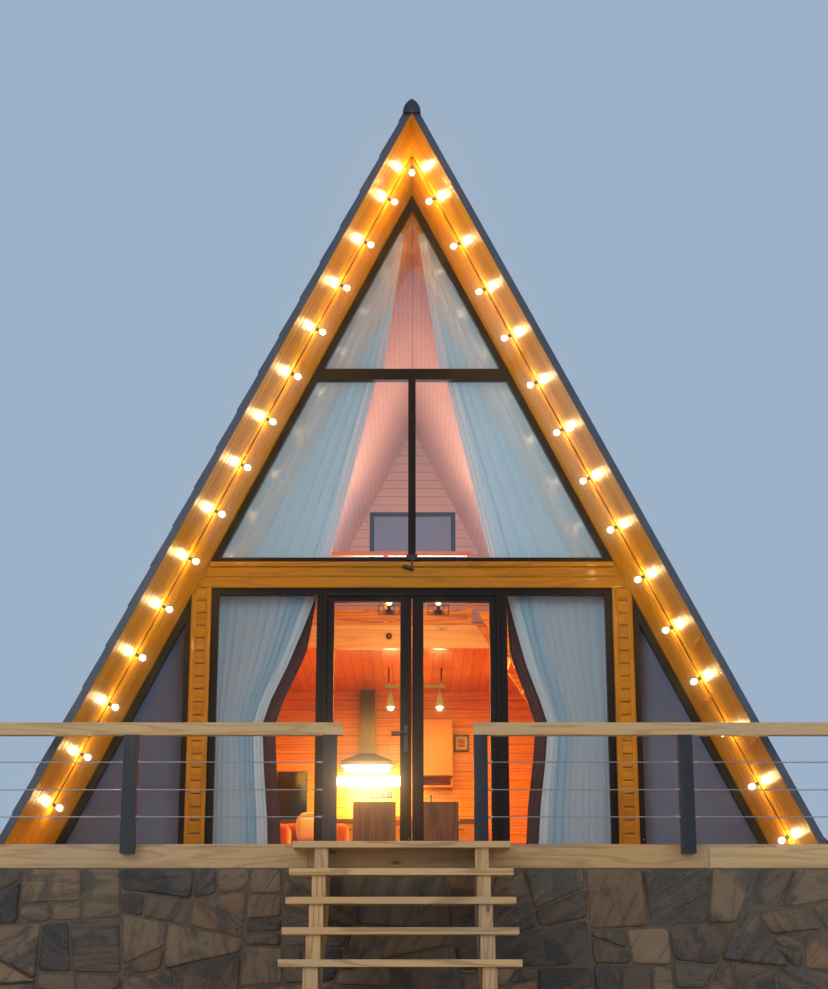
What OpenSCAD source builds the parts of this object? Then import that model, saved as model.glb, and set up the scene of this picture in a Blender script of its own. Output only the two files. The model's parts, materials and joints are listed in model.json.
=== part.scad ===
// A-frame cabin on a stone plinth, with a timber terrace, steps and a cable railing.
// Origin: ground level, on the centre line, at the outer plane of the glazed facade.
// +X is to the right seen from the front, +Y runs into the cabin, +Z is up.

/* [Gable] */
// Half the width between the two soffit planes at floor level
half_w = 3000; // [2800:10:3200]
// Height of the line where the two soffit planes meet, above the floor
apex_h = 5930; // [5700:10:6200]
// Length of the cabin from the facade to the outside of the rear wall
cabin_len = 6500; // [6300:50:7500]
// How far the roof stands out in front of the facade
front_overhang = 1570; // [1300:10:1640]
// How far the roof stands out behind the rear wall
rear_overhang = 400; // [200:10:700]
// Thickness of the rear gable wall
rear_wall_t = 150; // [120:5:200]

/* [Roof build-up] */
// Thickness of the pine soffit boards under the front overhang
soffit_t = 14; // [12:1:20]
// Thickness of the board layer that carries the roof sheet
deck_layer_t = 22; // [18:1:26]
// Depth of the insulated panel inside the soffit plane
panel_in = 90; // [60:5:140]
// Thickness of the boards that line the rooms
lining_t = 14; // [12:1:20]
// Thickness of the metal roofing at the lower edge of a course
sheet_t = 16; // [12:1:20]
// Height of the step where a course laps over the next one down
course_step = 10; // [6:1:11]
// Length of one roofing course along the slope
course_len = 350; // [300:10:420]
// How far the roofing hangs below the floor line beside the cabin
drip = 90; // [40:5:140]
// Thickness of the folded metal trim on the two verges
verge_t = 6; // [4:1:10]
// How far the verge trim stands proud of the roofing
verge_lip = 4; // [2:1:12]
// Width of the ridge cap
cap_w = 145; // [135:5:160]
// Height of the ridge cap above its feet on the verge trims
cap_h = 120; // [116:2:150]
// Thickness of the ridge cap
cap_t = 4; // [3:1:5]
// Distance from the ridge line at which the roofing stops under the cap
ridge_stop = 24; // [20:1:40]
// How far the ridge cap runs past each verge
cap_proud = 40; // [20:5:60]

/* [Plinth and terrace] */
// Height of the terrace and cabin floor above the ground
floor_z = 1250; // [1150:10:1350]
// Height of the timber between the stone and the floor line
sill_h = 170; // [150:5:200]
// Thickness of the stone walls
stone_t = 300; // [260:10:360]
// Half the width of the terrace
terrace_half = 3550; // [3500:10:3700]
// Depth of the terrace in front of the facade
terrace_d = 1750; // [1700:10:1900]
// How far the stone stands in front of the fascia board
stone_proud = 10; // [0:1:20]
// Thickness of the fascia boards
fascia_t = 40; // [30:1:50]
// Thickness of the terrace boards
board_t = 25; // [20:1:30]
// Number of terrace boards
board_n = 10; // [8:1:12]
// Gap between terrace boards
board_gap = 6; // [4:1:8]
// Number of joists under the terrace
joist_n = 9; // [7:1:11]
// Width of a joist
joist_w = 50; // [40:5:70]

/* [Steps] */
// Number of treads, with the top one level with the terrace
tread_n = 6; // [6:1:6]
// Length of a tread
tread_l = 1550; // [1500:10:1600]
// Depth of a tread
tread_d = 280; // [270:5:295]
// Thickness of a tread
tread_t = 45; // [40:1:50]
// Distance from one nosing to the next
going = 300; // [290:5:320]
// Centre of the steps, sideways from the centre line
steps_x = -70; // [-80:5:-50]
// Width across the outsides of the two stringers
stringer_span = 1235; // [1200:5:1260]
// Width of a stringer
stringer_w = 95; // [80:1:110]
// How far a nosing stands in front of the stringer
nosing = 25; // [15:1:40]

/* [Railing] */
// Size of a railing post
rail_post = 100; // [90:5:110]
// Size of the handrail beam
handrail = 90; // [80:5:95]
// Height of the top of the handrail above the terrace
handrail_h = 870; // [850:5:950]
// How far a post reaches below the terrace surface
post_drop = 70; // [60:5:100]
// Middle post and step post to the left of the steps
posts_left = [-2050, -595];
// Step post and middle post to the right of the steps
posts_right = [505, 2000];
// Heights of the cables above the terrace
cable_h = [190, 385, 585];
// Diameter of a cable
cable_dia = 8; // [6:1:10]

/* [Facade] */
// Depth of the facade timbers
facade_d = 150; // [140:5:180]
// Distance from the centre line to the inner face of a facade post
post_in = 1704; // [1680:2:1740]
// Width of a facade post
post_w = 171; // [150:1:190]
// Height of the underside of the facade beam above the floor
beam_h = 2285; // [2250:5:2330]
// Depth of the facade beam
beam_d = 225; // [200:5:250]
// Depth of a window frame from front to back
frame_d = 70; // [60:2:80]
// How far the window frames are set back from the facade plane
frame_back = 20; // [10:1:30]
// Width of the jambs and sill of the lower windows
frame_w = 60; // [50:1:66]
// Width of the bar over the doors and side lights
head_w = 55; // [50:1:60]
// Width of the mullion beside the doors
mullion_w = 75; // [70:1:85]
// Half the width of the doorway between the mullions
door_half = 733; // [700:1:760]
// Width of the upright of the corner windows
corner_w = 50; // [45:1:60]
// Height of the bottom rail of the upper window
upper_sill = 45; // [40:1:60]
// Width of the sloping bars of the upper window
upper_slope_w = 57; // [50:1:65]
// Height of the underside of the cross bar above the floor
cross_h = 4164; // [4000:5:4300]
// Width of the cross bar
cross_w = 103; // [90:1:120]
// Width of the upright in the upper window
upright_w = 65; // [55:1:75]
// Thickness of a sealed glass unit
glass_t = 20; // [16:1:28]

/* [Doors] */
// Clearance round a door leaf
door_gap = 5; // [5:1:6]
// Thickness of a door leaf
leaf_t = 60; // [55:1:62]
// Width of the stile where the two leaves meet
meet_w = 93; // [85:1:100]
// Width of the stile at the hinges
hinge_stile_w = 68; // [60:1:75]
// Width of the top rail of a leaf
leaf_top_w = 55; // [50:1:65]
// Height of the bottom rail of a leaf
leaf_foot_w = 95; // [80:1:110]
// Height of the threshold
threshold_h = 20; // [15:1:20]
// Radius of a hinge barrel
barrel_r = 8; // [7:1:9]
// Length of one half of a hinge barrel
barrel_l = 60; // [50:1:80]
// Heights of the hinges above the floor
hinge_h = [300, 1150, 1950];
// Height of the door handle above the floor
handle_h = 1050; // [1000:5:1100]

/* [Loft] */
// Distance from the facade to the front of the loft
loft_y = 2750; // [2700:10:2900]
// Thickness of the loft floor
loft_t = 100; // [80:5:130]
// Height of the loft floor above the cabin floor
loft_h = 2510; // [2450:5:2560]
// Depth of the beam at the front of the loft
loft_beam_h = 240; // [200:5:260]
// Thickness of the beam at the front of the loft
loft_beam_t = 60; // [50:5:80]
// Height of the loft railing
loft_rail_h = 760; // [700:10:900]
// Room left between the top of the railing's end post and the sloping lining
loft_rail_gap = 49; // [30:1:80]
// Right end of the loft railing, at the head of the stair
loft_rail_x1 = 600; // [560:10:640]
// Thickness of the railing bars
loft_bar = 45; // [38:1:50]
// Height of the board at the foot of the loft railing
kick_board_h = 160; // [120:5:200]
// Thickness of the board at the foot of the loft railing
kick_board_t = 22; // [18:1:28]
// Head of the stair, sideways from the centre line
stair_x = 640; // [620:10:700]
// Sideways run of the stair
stair_run = 1600; // [1500:10:1700]
// Width of the stair
stair_w = 640; // [600:10:680]
// Thickness of a stair stringer and of a stair tread
stair_t = 35; // [30:1:40]
// Number of stair treads
stair_n = 10; // [9:1:11]

/* [Kitchen] */
// Left and right ends of the kitchen units
kitchen_x = [-1500, 780];
// Depth of the kitchen units
kitchen_d = 600; // [560:5:650]
// Height of the worktop
worktop_h = 860; // [840:5:920]
// Thickness of the worktop
worktop_t = 40; // [28:1:45]
// Height of the toe space
toe_h = 100; // [80:5:120]
// Left and right sides of the wall cabinet
cabinet_x = [110, 470];
// Bottom and top of the wall cabinet
cabinet_h = [1380, 2030];
// Depth of the wall cabinet
cabinet_d = 330; // [300:5:360]
// Centre of the cooker hood
hood_x = -530; // [-560:5:-500]
// Width and depth of the hood canopy
hood_size = [600, 480];
// Height of the underside of the hood
hood_h = 1490; // [1460:5:1550]
// Height of the hood's straight rim
hood_rim = 45; // [35:1:60]
// Height of the hood's sloping part
hood_slope = 125; // [100:5:160]
// Width of the duct above the hood
duct_w = 170; // [150:5:200]
// Centre of the tap
tap_x = 215; // [180:5:260]

/* [Furniture] */
// Left and right ends of the dining table
table_x = [-600, 500];
// Front and back of the dining table
table_y = [4250, 4950];
// Height of the dining table
table_h = 750; // [730:5:770]
// Thickness of the table top
table_t = 40; // [28:1:45]
// Width of a table leg
table_leg = 60; // [50:5:80]
// Centres of the two chairs before the table, sideways from the centre line
chair_x = [-390, 256];
// Distance from the table to the centre of a chair
chair_gap = 325; // [280:5:360]
// Width and depth of a chair seat
chair_seat = 440; // [420:5:460]
// Height of a chair seat
chair_seat_h = 450; // [430:5:470]
// Height of a chair back
chair_back_h = 850; // [820:10:900]
// Width of a chair leg
chair_leg = 36; // [30:1:42]
// Distance of the armchair's right side from the end of the table
armchair_gap = 50; // [40:5:80]
// Distance of the armchair's front behind the facade
armchair_y = 3350; // [3200:10:3400]
// Width, depth and height of the armchair seat
armchair_seat = [700, 620, 420];
// Thickness of the arms and the back of the armchair
armchair_arm = 110; // [90:5:130]
// Height of the arms above the seat
armchair_arm_h = 180; // [150:10:220]
// Height of the back above the seat
armchair_back_h = 230; // [200:10:300]

// Left edge of the picture frame, and the height of its foot above the floor
picture_at = [490, 1700];
// Width, depth and height of the picture frame
picture_size = [180, 25, 200];

/* [Lamps] */
// Spacing of the bulbs up the left slope
bulb_pitch_left = 443; // [440:1:450]
// Spacing of the bulbs up the right slope
bulb_pitch_right = 465; // [460:1:470]
// Number of bulbs on each slope
bulb_n = 14; // [14:1:14]
// Distance of the lowest left bulb up the slope from the floor
bulb_start_left = 426; // [400:2:440]
// Distance of the lowest right bulb up the slope from the floor
bulb_start_right = 146; // [130:2:160]
// Distance of the light string in front of the facade
bulb_y = 800; // [760:5:840]
// Radius of a bulb
bulb_r = 22; // [18:1:26]
// Radius of a lamp holder
holder_r = 14; // [12:1:16]
// Length of a lamp holder
holder_l = 34; // [30:1:40]
// Radius of the flat cable of the light string
string_r = 4; // [3:0.5:5]
// Distance of the ceiling lamps behind the facade
lamp_y = 4700; // [4600:10:4800]
// Sideways places of the two ceiling lamps
lamp_x = [-240, 300];
// Height of the ceiling lamps' bulbs above the floor
lamp_h = 1980; // [1960:5:2020]
// Radius of the ceiling lamps' shades at the rim
shade_r = 55; // [45:1:65]
// Height of the ceiling lamps' shades
shade_h = 140; // [120:5:160]
// Length of the stem between a shade and the rail
lamp_stem_h = 70; // [50:5:90]

/* [Curtains] */
// Thickness of the space that a gathered curtain fills
curtain_t = 60; // [50:5:70]
// Height of the pinch of a tied curtain above the floor
pinch_h = 1142; // [1100:5:1200]
// Distance from the centre line to the tied edge
pinch_x = 1120; // [1080:5:1200]
// Distance from the centre line to the foot of the upper curtains' inner edge
drawn_x = 700; // [650:5:750]

/* [Hidden] */

// Half the angle between the two roof slopes, and its sine, cosine and tangent
half_angle = atan(half_w / apex_h);
sa = sin(half_angle);
ca = cos(half_angle);
ta = half_w / apex_h;
// Small clearance between pieces that would touch along a curved face
touch = 0.3;
// Offsets from the soffit plane, outwards positive
layer_out = soffit_t + deck_layer_t;
roof_out = layer_out + sheet_t;
room_in = -panel_in - lining_t;
// Length of the slope from the floor to the ridge on the soffit plane
slope_len = apex_h / ca;
// Ends of the roof
front_y = -front_overhang;
rear_y = cabin_len + rear_overhang;
// Levels of the timber and the stone
stone_top = floor_z - sill_h;
board_w = (terrace_d - (board_n - 1) * board_gap) / board_n;
joist_h = sill_h - board_t;
rise = floor_z / tread_n;
post_front = -terrace_d - rail_post;
rail_end = terrace_half - rail_post / 2;
left_posts = concat([-rail_end], posts_left);
right_posts = concat(posts_right, [rail_end]);
sill_x = half_w + layer_out / ca;
panel_x = half_w - panel_in / ca;
room_y0 = facade_d;
room_y1 = cabin_len - rear_wall_t;
// Planes of the window frames and the glass
frame_y1 = frame_back + frame_d;
glass_y = frame_back + (frame_d - glass_t) / 2;
leaf_y = frame_y1 - door_gap - leaf_t;
leaf_z0 = threshold_h + door_gap;
leaf_z1 = beam_h - head_w - door_gap;
pivot_y = frame_y1 + barrel_r + 1.5;
corner_x = post_in + post_w;

// Distance from the centre line to a plane offset from the soffit plane, at a height
function slope_x(h, d) = half_w - h * ta + d / ca;
// Height where that plane meets a distance from the centre line
function slope_h(x, d) = (half_w + d / ca - x) / ta;
// Height where that plane meets the same plane of the other slope
function ridge_h(d) = apex_h + d / sa;
// A point up the right slope by s and out from the soffit plane by d
function on_slope(s, d) = [half_w - s * sa + d * ca, s * ca + d * sa];

// Extrudes an outline drawn in width and height above the floor from y0 to y1
module along(y0, y1) {
  translate([0, y1, floor_z]) rotate([90, 0, 0]) linear_extrude(y1 - y0) children();
}

// Draws a block between two corners
module block(low, high) {
  translate(low) cube(high - low);
}

module both_sides() {
  children();
  mirror([1, 0, 0]) children();
}

// The outline inside a plane offset from the soffit plane, above a height
module gable_outline(d, h0) {
  polygon([[-slope_x(h0, d), h0], [slope_x(h0, d), h0], [0, ridge_h(d)]]);
}

// One layer of the right slope between two offsets
module slope_layer(d0, d1, h0) {
  polygon([
    [slope_x(h0, d0), h0], [slope_x(h0, d1), h0], [0, ridge_h(d1)], [0, ridge_h(d0)]
  ]);
}

// Stone

module plinth_front_wall() {
  color("#6f6a64")
    block([-terrace_half, -terrace_d - stone_proud, 0],
          [terrace_half, -terrace_d - stone_proud + stone_t, stone_top]);
}

module plinth_cross_wall() {
  color("#6f6a64")
    block([-terrace_half, -stone_t / 2, 0], [terrace_half, stone_t / 2, stone_top]);
}

module plinth_terrace_ends() {
  color("#6f6a64") both_sides()
    block([terrace_half - stone_t, -terrace_d - stone_proud + stone_t, 0],
          [terrace_half, -stone_t / 2, stone_top]);
}

module plinth_side_walls() {
  color("#6f6a64") both_sides()
    block([sill_x + 60 - stone_t, stone_t / 2, 0],
          [sill_x + 60, cabin_len - stone_t, stone_top]);
}

module plinth_rear_wall() {
  color("#6f6a64")
    block([-sill_x - 60, cabin_len - stone_t, 0], [sill_x + 60, cabin_len, stone_top]);
}

// Terrace

module deck_joists() {
  joist_pitch = (2 * terrace_half - 2 * fascia_t - joist_w) / (joist_n - 1);
  color("#a58a63")
    for (i = [0 : joist_n - 1])
      translate([-terrace_half + fascia_t + i * joist_pitch, -terrace_d + fascia_t, stone_top])
        cube([joist_w, terrace_d - fascia_t, joist_h]);
}

module deck_boards() {
  color("#8d7f6d")
    for (i = [0 : board_n - 1])
      translate([-terrace_half, -terrace_d + i * (board_w + board_gap), floor_z - board_t])
        cube([2 * terrace_half, board_w, board_t]);
}

module deck_fascia() {
  color("#a39279") {
    block([-terrace_half, -terrace_d, stone_top],
          [terrace_half, -terrace_d + fascia_t, floor_z - board_t]);
    both_sides()
      block([terrace_half - fascia_t, -terrace_d + fascia_t, stone_top],
            [terrace_half, 0, floor_z - board_t]);
  }
}

module sill_plates() {
  color("#b08a55") {
    block([-sill_x, 0, stone_top], [sill_x, facade_d, floor_z]);
    both_sides() block([panel_x, facade_d, stone_top], [sill_x, cabin_len, floor_z]);
    block([-panel_x, room_y1, stone_top], [panel_x, cabin_len, floor_z]);
  }
}

module cabin_floor() {
  color("#b98b58") block([-panel_x, facade_d, stone_top], [panel_x, room_y1, floor_z]);
}

// Steps

function nose_y(k) = -terrace_d - tread_d - k * going;
stringer_x = stringer_span / 2 - stringer_w;

module step_stringers() {
  cut_top = floor_z - post_drop;
  outline = concat(
    [[-terrace_d - stone_proud, cut_top], [post_front, cut_top], [post_front, floor_z - tread_t]],
    [for (k = [0 : tread_n - 1], end = [0, 1])
      [nose_y(k) + nosing, max(0, floor_z - tread_t - (k + end) * rise)]],
    [[nose_y(tread_n - 1) + going + tread_d / 2, 0],
     [-terrace_d - stone_proud, cut_top - 2 * rise]]
  );
  color("#9a866b")
    for (side = [-1, 1])
      translate([steps_x + side * (stringer_x + stringer_w / 2) - stringer_w / 2, 0, 0])
        rotate([90, 0, 90]) linear_extrude(stringer_w) polygon(outline);
}

module step_treads() {
  near_posts = [left_posts[len(left_posts) - 1], right_posts[0]];
  color("#b3a083")
    for (k = [0 : tread_n - 1])
      difference() {
        translate([steps_x - tread_l / 2, nose_y(k), floor_z - tread_t - k * rise])
          cube([tread_l, tread_d, tread_t]);
        if (k == 0)
          for (x = near_posts)
            translate([x - rail_post / 2, post_front, floor_z - 2 * tread_t])
              cube([rail_post, 2 * rail_post, 3 * tread_t]);
      }
}

// Railing

module railing_posts() {
  color("#302c2b")
    for (x = concat(left_posts, right_posts))
      block([x - rail_post / 2, post_front, floor_z - post_drop],
            [x + rail_post / 2, -terrace_d, floor_z + handrail_h - handrail]);
}

rail_inset = (rail_post - handrail) / 2;

module handrail_bar(x0, x1) {
  block([x0, post_front + rail_inset, floor_z + handrail_h - handrail],
        [x1, post_front + rail_inset + handrail, floor_z + handrail_h]);
}

module handrails() {
  overrun = 90;
  color("#b8a485") {
    handrail_bar(-terrace_half, left_posts[len(left_posts) - 1] + overrun);
    handrail_bar(right_posts[0] - rail_post / 2, terrace_half);
  }
}

module cable_spans(posts) {
  for (i = [0 : len(posts) - 2], h = cable_h)
    translate([posts[i] + rail_post / 2, post_front + rail_post / 2, floor_z + h])
      rotate([0, 90, 0])
        cylinder(d = cable_dia, h = posts[i + 1] - posts[i] - rail_post, $fn = 24);
}

module railing_cables() {
  color("#c9ccd0") {
    cable_spans(left_posts);
    cable_spans(right_posts);
  }
}

// Roof

// The insulated panel behind the facade and the thin board layer over the overhang
module roof_panel() {
  color("#c79a5e") {
    along(facade_d, rear_y) slope_layer(-panel_in, layer_out, 0);
    along(front_y, facade_d) slope_layer(soffit_t, layer_out, 0);
  }
}

module roof_panel_left() { mirror([1, 0, 0]) roof_panel(); }
module roof_panel_right() { roof_panel(); }

course_n = ceil((slope_len + roof_out / ta + 2 * drip) / course_len);

// Lapped courses: each is thickest at its lower edge
module sheet_outline() {
  s0 = -course_len / 3;
  steps = [for (i = [0 : course_n - 1], end = [0, 1])
    on_slope(s0 + (i + end) * course_len, end == 0 ? roof_out : roof_out - course_step)];
  polygon(concat(steps, [on_slope(s0 + course_n * course_len, layer_out), on_slope(s0, layer_out)]));
}

module roof_sheet() {
  reach = 2 * apex_h;
  color("#33383f") {
    along(front_y, rear_y) intersection() {
      sheet_outline();
      translate([ridge_stop, 0]) square([reach, reach]);
    }
    along(facade_d, rear_y) intersection() {
      sheet_outline();
      translate([0, -drip]) square([reach, drip]);
    }
  }
}

module roof_sheet_left() { mirror([1, 0, 0]) roof_sheet(); }
module roof_sheet_right() { roof_sheet(); }

module soffit() {
  color("#d98f2b") along(front_y, facade_d) slope_layer(0, soffit_t, 0);
}

module soffit_left() { mirror([1, 0, 0]) soffit(); }
module soffit_right() { soffit(); }

module lining() {
  color("#e0b98a") along(facade_d, rear_y) slope_layer(room_in, -panel_in, 0);
}

module lining_left() { mirror([1, 0, 0]) lining(); }
module lining_right() { lining(); }

// Height of the cap's foot, where its inner corners clear the lip of the verge trims
cap_foot = slope_h(cap_w / 2 - cap_t, roof_out + verge_lip) + touch;

// The trim covers the edges of the roof layers and stops below the arch of the cap
module verge_outline(d_in) {
  intersection() {
    difference() {
      gable_outline(roof_out + verge_lip, 0);
      translate([0, -1]) gable_outline(d_in, 0);
    }
    translate([-half_w - roof_out / ca - verge_t, 0])
      square([2 * (half_w + roof_out / ca + verge_t), cap_foot + 0.75 * cap_h]);
  }
}

module verge_trims() {
  color("#3b4654") {
    along(front_y - verge_t, front_y) verge_outline(0);
    along(rear_y, rear_y + verge_t) verge_outline(room_in);
  }
}

// The outline of a pointed arch with a flat foot, drawn from the middle of the foot
module pointed_arch(width, height) {
  half = width / 2;
  arc_r = (height * height + half * half) / width;
  intersection() {
    translate([half - arc_r, 0]) circle(r = arc_r, $fn = 96);
    translate([arc_r - half, 0]) circle(r = arc_r, $fn = 96);
    translate([-half, 0]) square([width, height]);
  }
}

// A folded cap astride the ridge, closed at both ends by a plate
module ridge_cap() {
  ends = [front_y - cap_proud, rear_y + cap_proud];
  color("#2c3138") {
    along(ends[0], ends[1]) translate([0, cap_foot]) difference() {
      pointed_arch(cap_w, cap_h);
      translate([0, -1]) pointed_arch(cap_w - 2 * cap_t, cap_h - cap_t);
    }
    for (y = [ends[0], ends[1] - cap_t])
      along(y, y + cap_t) translate([0, cap_foot]) pointed_arch(cap_w, cap_h);
  }
}

// Facade

module in_gable(h0) {
  intersection() {
    children();
    gable_outline(-touch, h0);
  }
}

module facade_posts() {
  color("#cf8a30") both_sides()
    along(0, facade_d) in_gable(-10) translate([post_in, 0]) square([post_w, beam_h]);
}

module facade_beam() {
  color("#c8832c")
    along(0, facade_d) in_gable(-10)
      translate([-half_w, beam_h]) square([2 * half_w, beam_d]);
}

module side_light_hole() {
  translate([door_half + mullion_w, frame_w])
    square([post_in - frame_w - door_half - mullion_w, beam_h - head_w - frame_w]);
}

// Fixed halves of the three hinges, on the inner face of the mullion
module hinge_knuckles(leaf_side) {
  for (h = hinge_h)
    translate([door_half, pivot_y, floor_z + h + (leaf_side ? touch : -barrel_l)]) {
      cylinder(r = barrel_r, h = barrel_l, $fn = 32);
      if (leaf_side)
        translate([-4 * barrel_r, leaf_y + leaf_t - pivot_y, 0])
          cube([4 * barrel_r - door_gap, pivot_y - leaf_y - leaf_t - 3, barrel_l]);
      else
        translate([3, frame_y1 - pivot_y, 0])
          cube([4 * barrel_r, pivot_y - frame_y1 - 2, barrel_l]);
    }
}

module side_light() {
  color("#2b2628") {
    along(frame_back, frame_y1) difference() {
      translate([door_half, 0]) square([post_in - door_half, beam_h]);
      side_light_hole();
    }
    hinge_knuckles(false);
  }
}

module side_light_left() { mirror([1, 0, 0]) side_light(); }
module side_light_right() { side_light(); }

module door_frame() {
  color("#2b2628") along(frame_back, frame_y1) {
    translate([-door_half, beam_h - head_w]) square([2 * door_half, head_w]);
    translate([-door_half, 0]) square([2 * door_half, threshold_h]);
  }
}

// The triangle between a post and the roof, cut level where it meets the beam
module corner_outline(jamb, bar) {
  x0 = corner_x + jamb;
  d = -bar - touch;
  intersection() {
    polygon([[x0, bar], [slope_x(bar, d), bar], [x0, slope_h(x0, d)]]);
    translate([x0, 0]) square([half_w, beam_h - bar]);
  }
}

module corner_hole() { corner_outline(corner_w, frame_w); }

module corner_windows() {
  color("#2b2628") both_sides() along(frame_back, frame_y1) difference() {
    corner_outline(0, 0);
    corner_hole();
  }
}

upper_h0 = beam_h + beam_d;

// The three glazed holes of the upper window: left, right and top
module upper_hole(which) {
  d = -upper_slope_w;
  h0 = upper_h0 + upper_sill;
  if (which == "top")
    gable_outline(d, cross_h + cross_w);
  else
    mirror([which == "left" ? 1 : 0, 0]) polygon([
      [upright_w / 2, h0], [slope_x(h0, d), h0], [slope_x(cross_h, d), cross_h],
      [upright_w / 2, cross_h]
    ]);
}

module upper_window() {
  color("#2b2628") along(frame_back, frame_y1) difference() {
    gable_outline(-touch, upper_h0);
    for (which = ["left", "right", "top"]) upper_hole(which);
  }
}

module lower_glass() {
  color("#a9bcc4", 0.4) both_sides() along(glass_y, glass_y + glass_t) {
    side_light_hole();
    corner_hole();
  }
}

module upper_glass() {
  color("#a9bcc4", 0.4) along(glass_y, glass_y + glass_t)
    for (which = ["left", "right", "top"]) upper_hole(which);
}

// Doors

module leaf_hole() {
  x0 = door_gap + meet_w;
  translate([x0, leaf_z0 + leaf_foot_w])
    square([door_half - door_gap - hinge_stile_w - x0,
            leaf_z1 - leaf_top_w - leaf_z0 - leaf_foot_w]);
}

module door_leaf() {
  color("#2b2628") {
    along(leaf_y, leaf_y + leaf_t) difference() {
      translate([door_gap, leaf_z0]) square([door_half - 2 * door_gap, leaf_z1 - leaf_z0]);
      leaf_hole();
    }
    hinge_knuckles(true);
  }
}

module door_leaf_left() { mirror([1, 0, 0]) door_leaf(); }
module door_leaf_right() { door_leaf(); }

module door_glass() {
  glass_mid = leaf_y + leaf_t / 2;
  color("#a9bcc4", 0.4) along(glass_mid - glass_t / 2, glass_mid + glass_t / 2) leaf_hole();
}

module door_glass_left() { mirror([1, 0, 0]) door_glass(); }
module door_glass_right() { door_glass(); }

// A back plate with a lever on each face of the left leaf
module door_handle() {
  stem = 42;
  lever_r = 9;
  lever_l = 120;
  plate = [32, 8, 220];
  handle_x = -door_gap - meet_w / 2;
  color("#1c1a1b")
    for (face = [[leaf_y, -1], [leaf_y + leaf_t, 1]])
      translate([handle_x, face[0], floor_z + handle_h]) {
        translate([-plate[0] / 2, face[1] < 0 ? -plate[1] : 0, -0.7 * plate[2]]) cube(plate);
        rotate([-90 * face[1], 0, 0]) cylinder(r = lever_r, h = stem, $fn = 32);
        translate([0, face[1] * stem, 0]) {
          sphere(r = lever_r, $fn = 32);
          rotate([0, -90, 0]) cylinder(r = lever_r, h = lever_l, $fn = 32);
        }
      }
}

// A small lamp on an arm at the foot of the upright
module floodlight() {
  base = [96, 52, 50];
  base_z = upper_h0 + 12;
  arm_l = 90;
  arm_y = frame_back - base[1] + 12;
  joint_r = 16;
  lamp_l = 78;
  color("#171516") translate([0, 0, floor_z]) {
    translate([-base[0] / 2, frame_back - base[1], base_z]) cube(base);
    translate([0, arm_y, base_z - arm_l + 10]) {
      cylinder(r = 11, h = arm_l, $fn = 32);
      sphere(r = joint_r, $fn = 32);
      rotate([0, -70, 0]) cylinder(r = 18, h = lamp_l, $fn = 32);
    }
  }
}

// Rear gable

// The loft window stands above the loft floor, and its upper corners stop short of the lining
rear_hole_x = 525;
rear_sill_h = 1040;
rear_corner_gap = 25;
rear_frame_w = 55;
rear_hole_h = [loft_h + rear_sill_h, slope_h(rear_hole_x, room_in) - rear_corner_gap];

module rear_opening(inset) {
  translate([-rear_hole_x + inset, rear_hole_h[0] + inset])
    square([2 * (rear_hole_x - inset), rear_hole_h[1] - rear_hole_h[0] - 2 * inset]);
}

module rear_wall() {
  color("#d8b48a") along(room_y1, cabin_len) difference() {
    gable_outline(room_in - touch, 0);
    rear_opening(0);
  }
}

rear_frame_y = room_y1 + (rear_wall_t - frame_d) / 2;

module rear_window() {
  color("#2b2628") along(rear_frame_y, rear_frame_y + frame_d) difference() {
    rear_opening(0);
    rear_opening(rear_frame_w);
  }
}

module rear_glass() {
  mid = rear_frame_y + frame_d / 2;
  color("#a9bcc4", 0.4) along(mid - glass_t / 2, mid + glass_t / 2) rear_opening(rear_frame_w);
}

// Loft

module in_room() {
  intersection() {
    children();
    gable_outline(room_in - touch, 0);
  }
}

module loft_floor() {
  color("#e2b06a") {
    along(loft_y + loft_beam_t, room_y1) in_room()
      translate([-half_w, loft_h - loft_t]) square([2 * half_w, loft_t]);
    along(loft_y, loft_y + loft_beam_t) in_room()
      translate([-half_w, loft_h - loft_beam_h]) square([2 * half_w, loft_beam_h]);
  }
}

// The left end of the railing, where its top clears the lining
loft_rail_x0 = loft_rail_gap - slope_x(loft_h + loft_rail_h, room_in);

// Posts, two rails, and a board that closes the foot of the railing
module loft_railing() {
  post_xs = [loft_rail_x0, (loft_rail_x0 + loft_rail_x1) / 2, loft_rail_x1 - loft_bar];
  rail_z = floor_z + loft_h;
  color("#c98745") {
    for (x = post_xs)
      translate([x, loft_y, rail_z]) cube([loft_bar, loft_bar, loft_rail_h]);
    for (z = [loft_rail_h, loft_rail_h / 2])
      translate([loft_rail_x0, loft_y, rail_z + z - loft_bar])
        cube([loft_rail_x1 - loft_rail_x0, loft_bar, loft_bar]);
    translate([loft_rail_x0, loft_y + (loft_bar - kick_board_t) / 2, rail_z])
      cube([loft_rail_x1 - loft_rail_x0, kick_board_t, kick_board_h]);
  }
}

stair_rise = loft_h / (stair_n + 1);
stair_y = loft_y - stair_w;

module stair_stringer() {
  plank = 220;
  lean = plank * loft_h / sqrt(loft_h * loft_h + stair_run * stair_run);
  translate([0, stair_t, floor_z]) rotate([90, 0, 0]) linear_extrude(stair_t)
    polygon([
      [stair_x, loft_h], [stair_x + lean, loft_h],
      [stair_x + stair_run + lean, 0], [stair_x + stair_run, 0]
    ]);
}

module loft_stair_stringers() {
  color("#b5732f")
    for (y = [stair_y, loft_y - stair_t])
      translate([0, y, 0]) stair_stringer();
}

module loft_stair_treads() {
  tread_run = stair_run / (stair_n + 1);
  color("#b5732f")
    for (i = [1 : stair_n])
      translate([stair_x + i * tread_run + 10, stair_y + stair_t,
                 floor_z + loft_h - i * stair_rise - stair_t])
        cube([200, stair_w - 2 * stair_t, stair_t]);
}

// Kitchen

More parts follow.
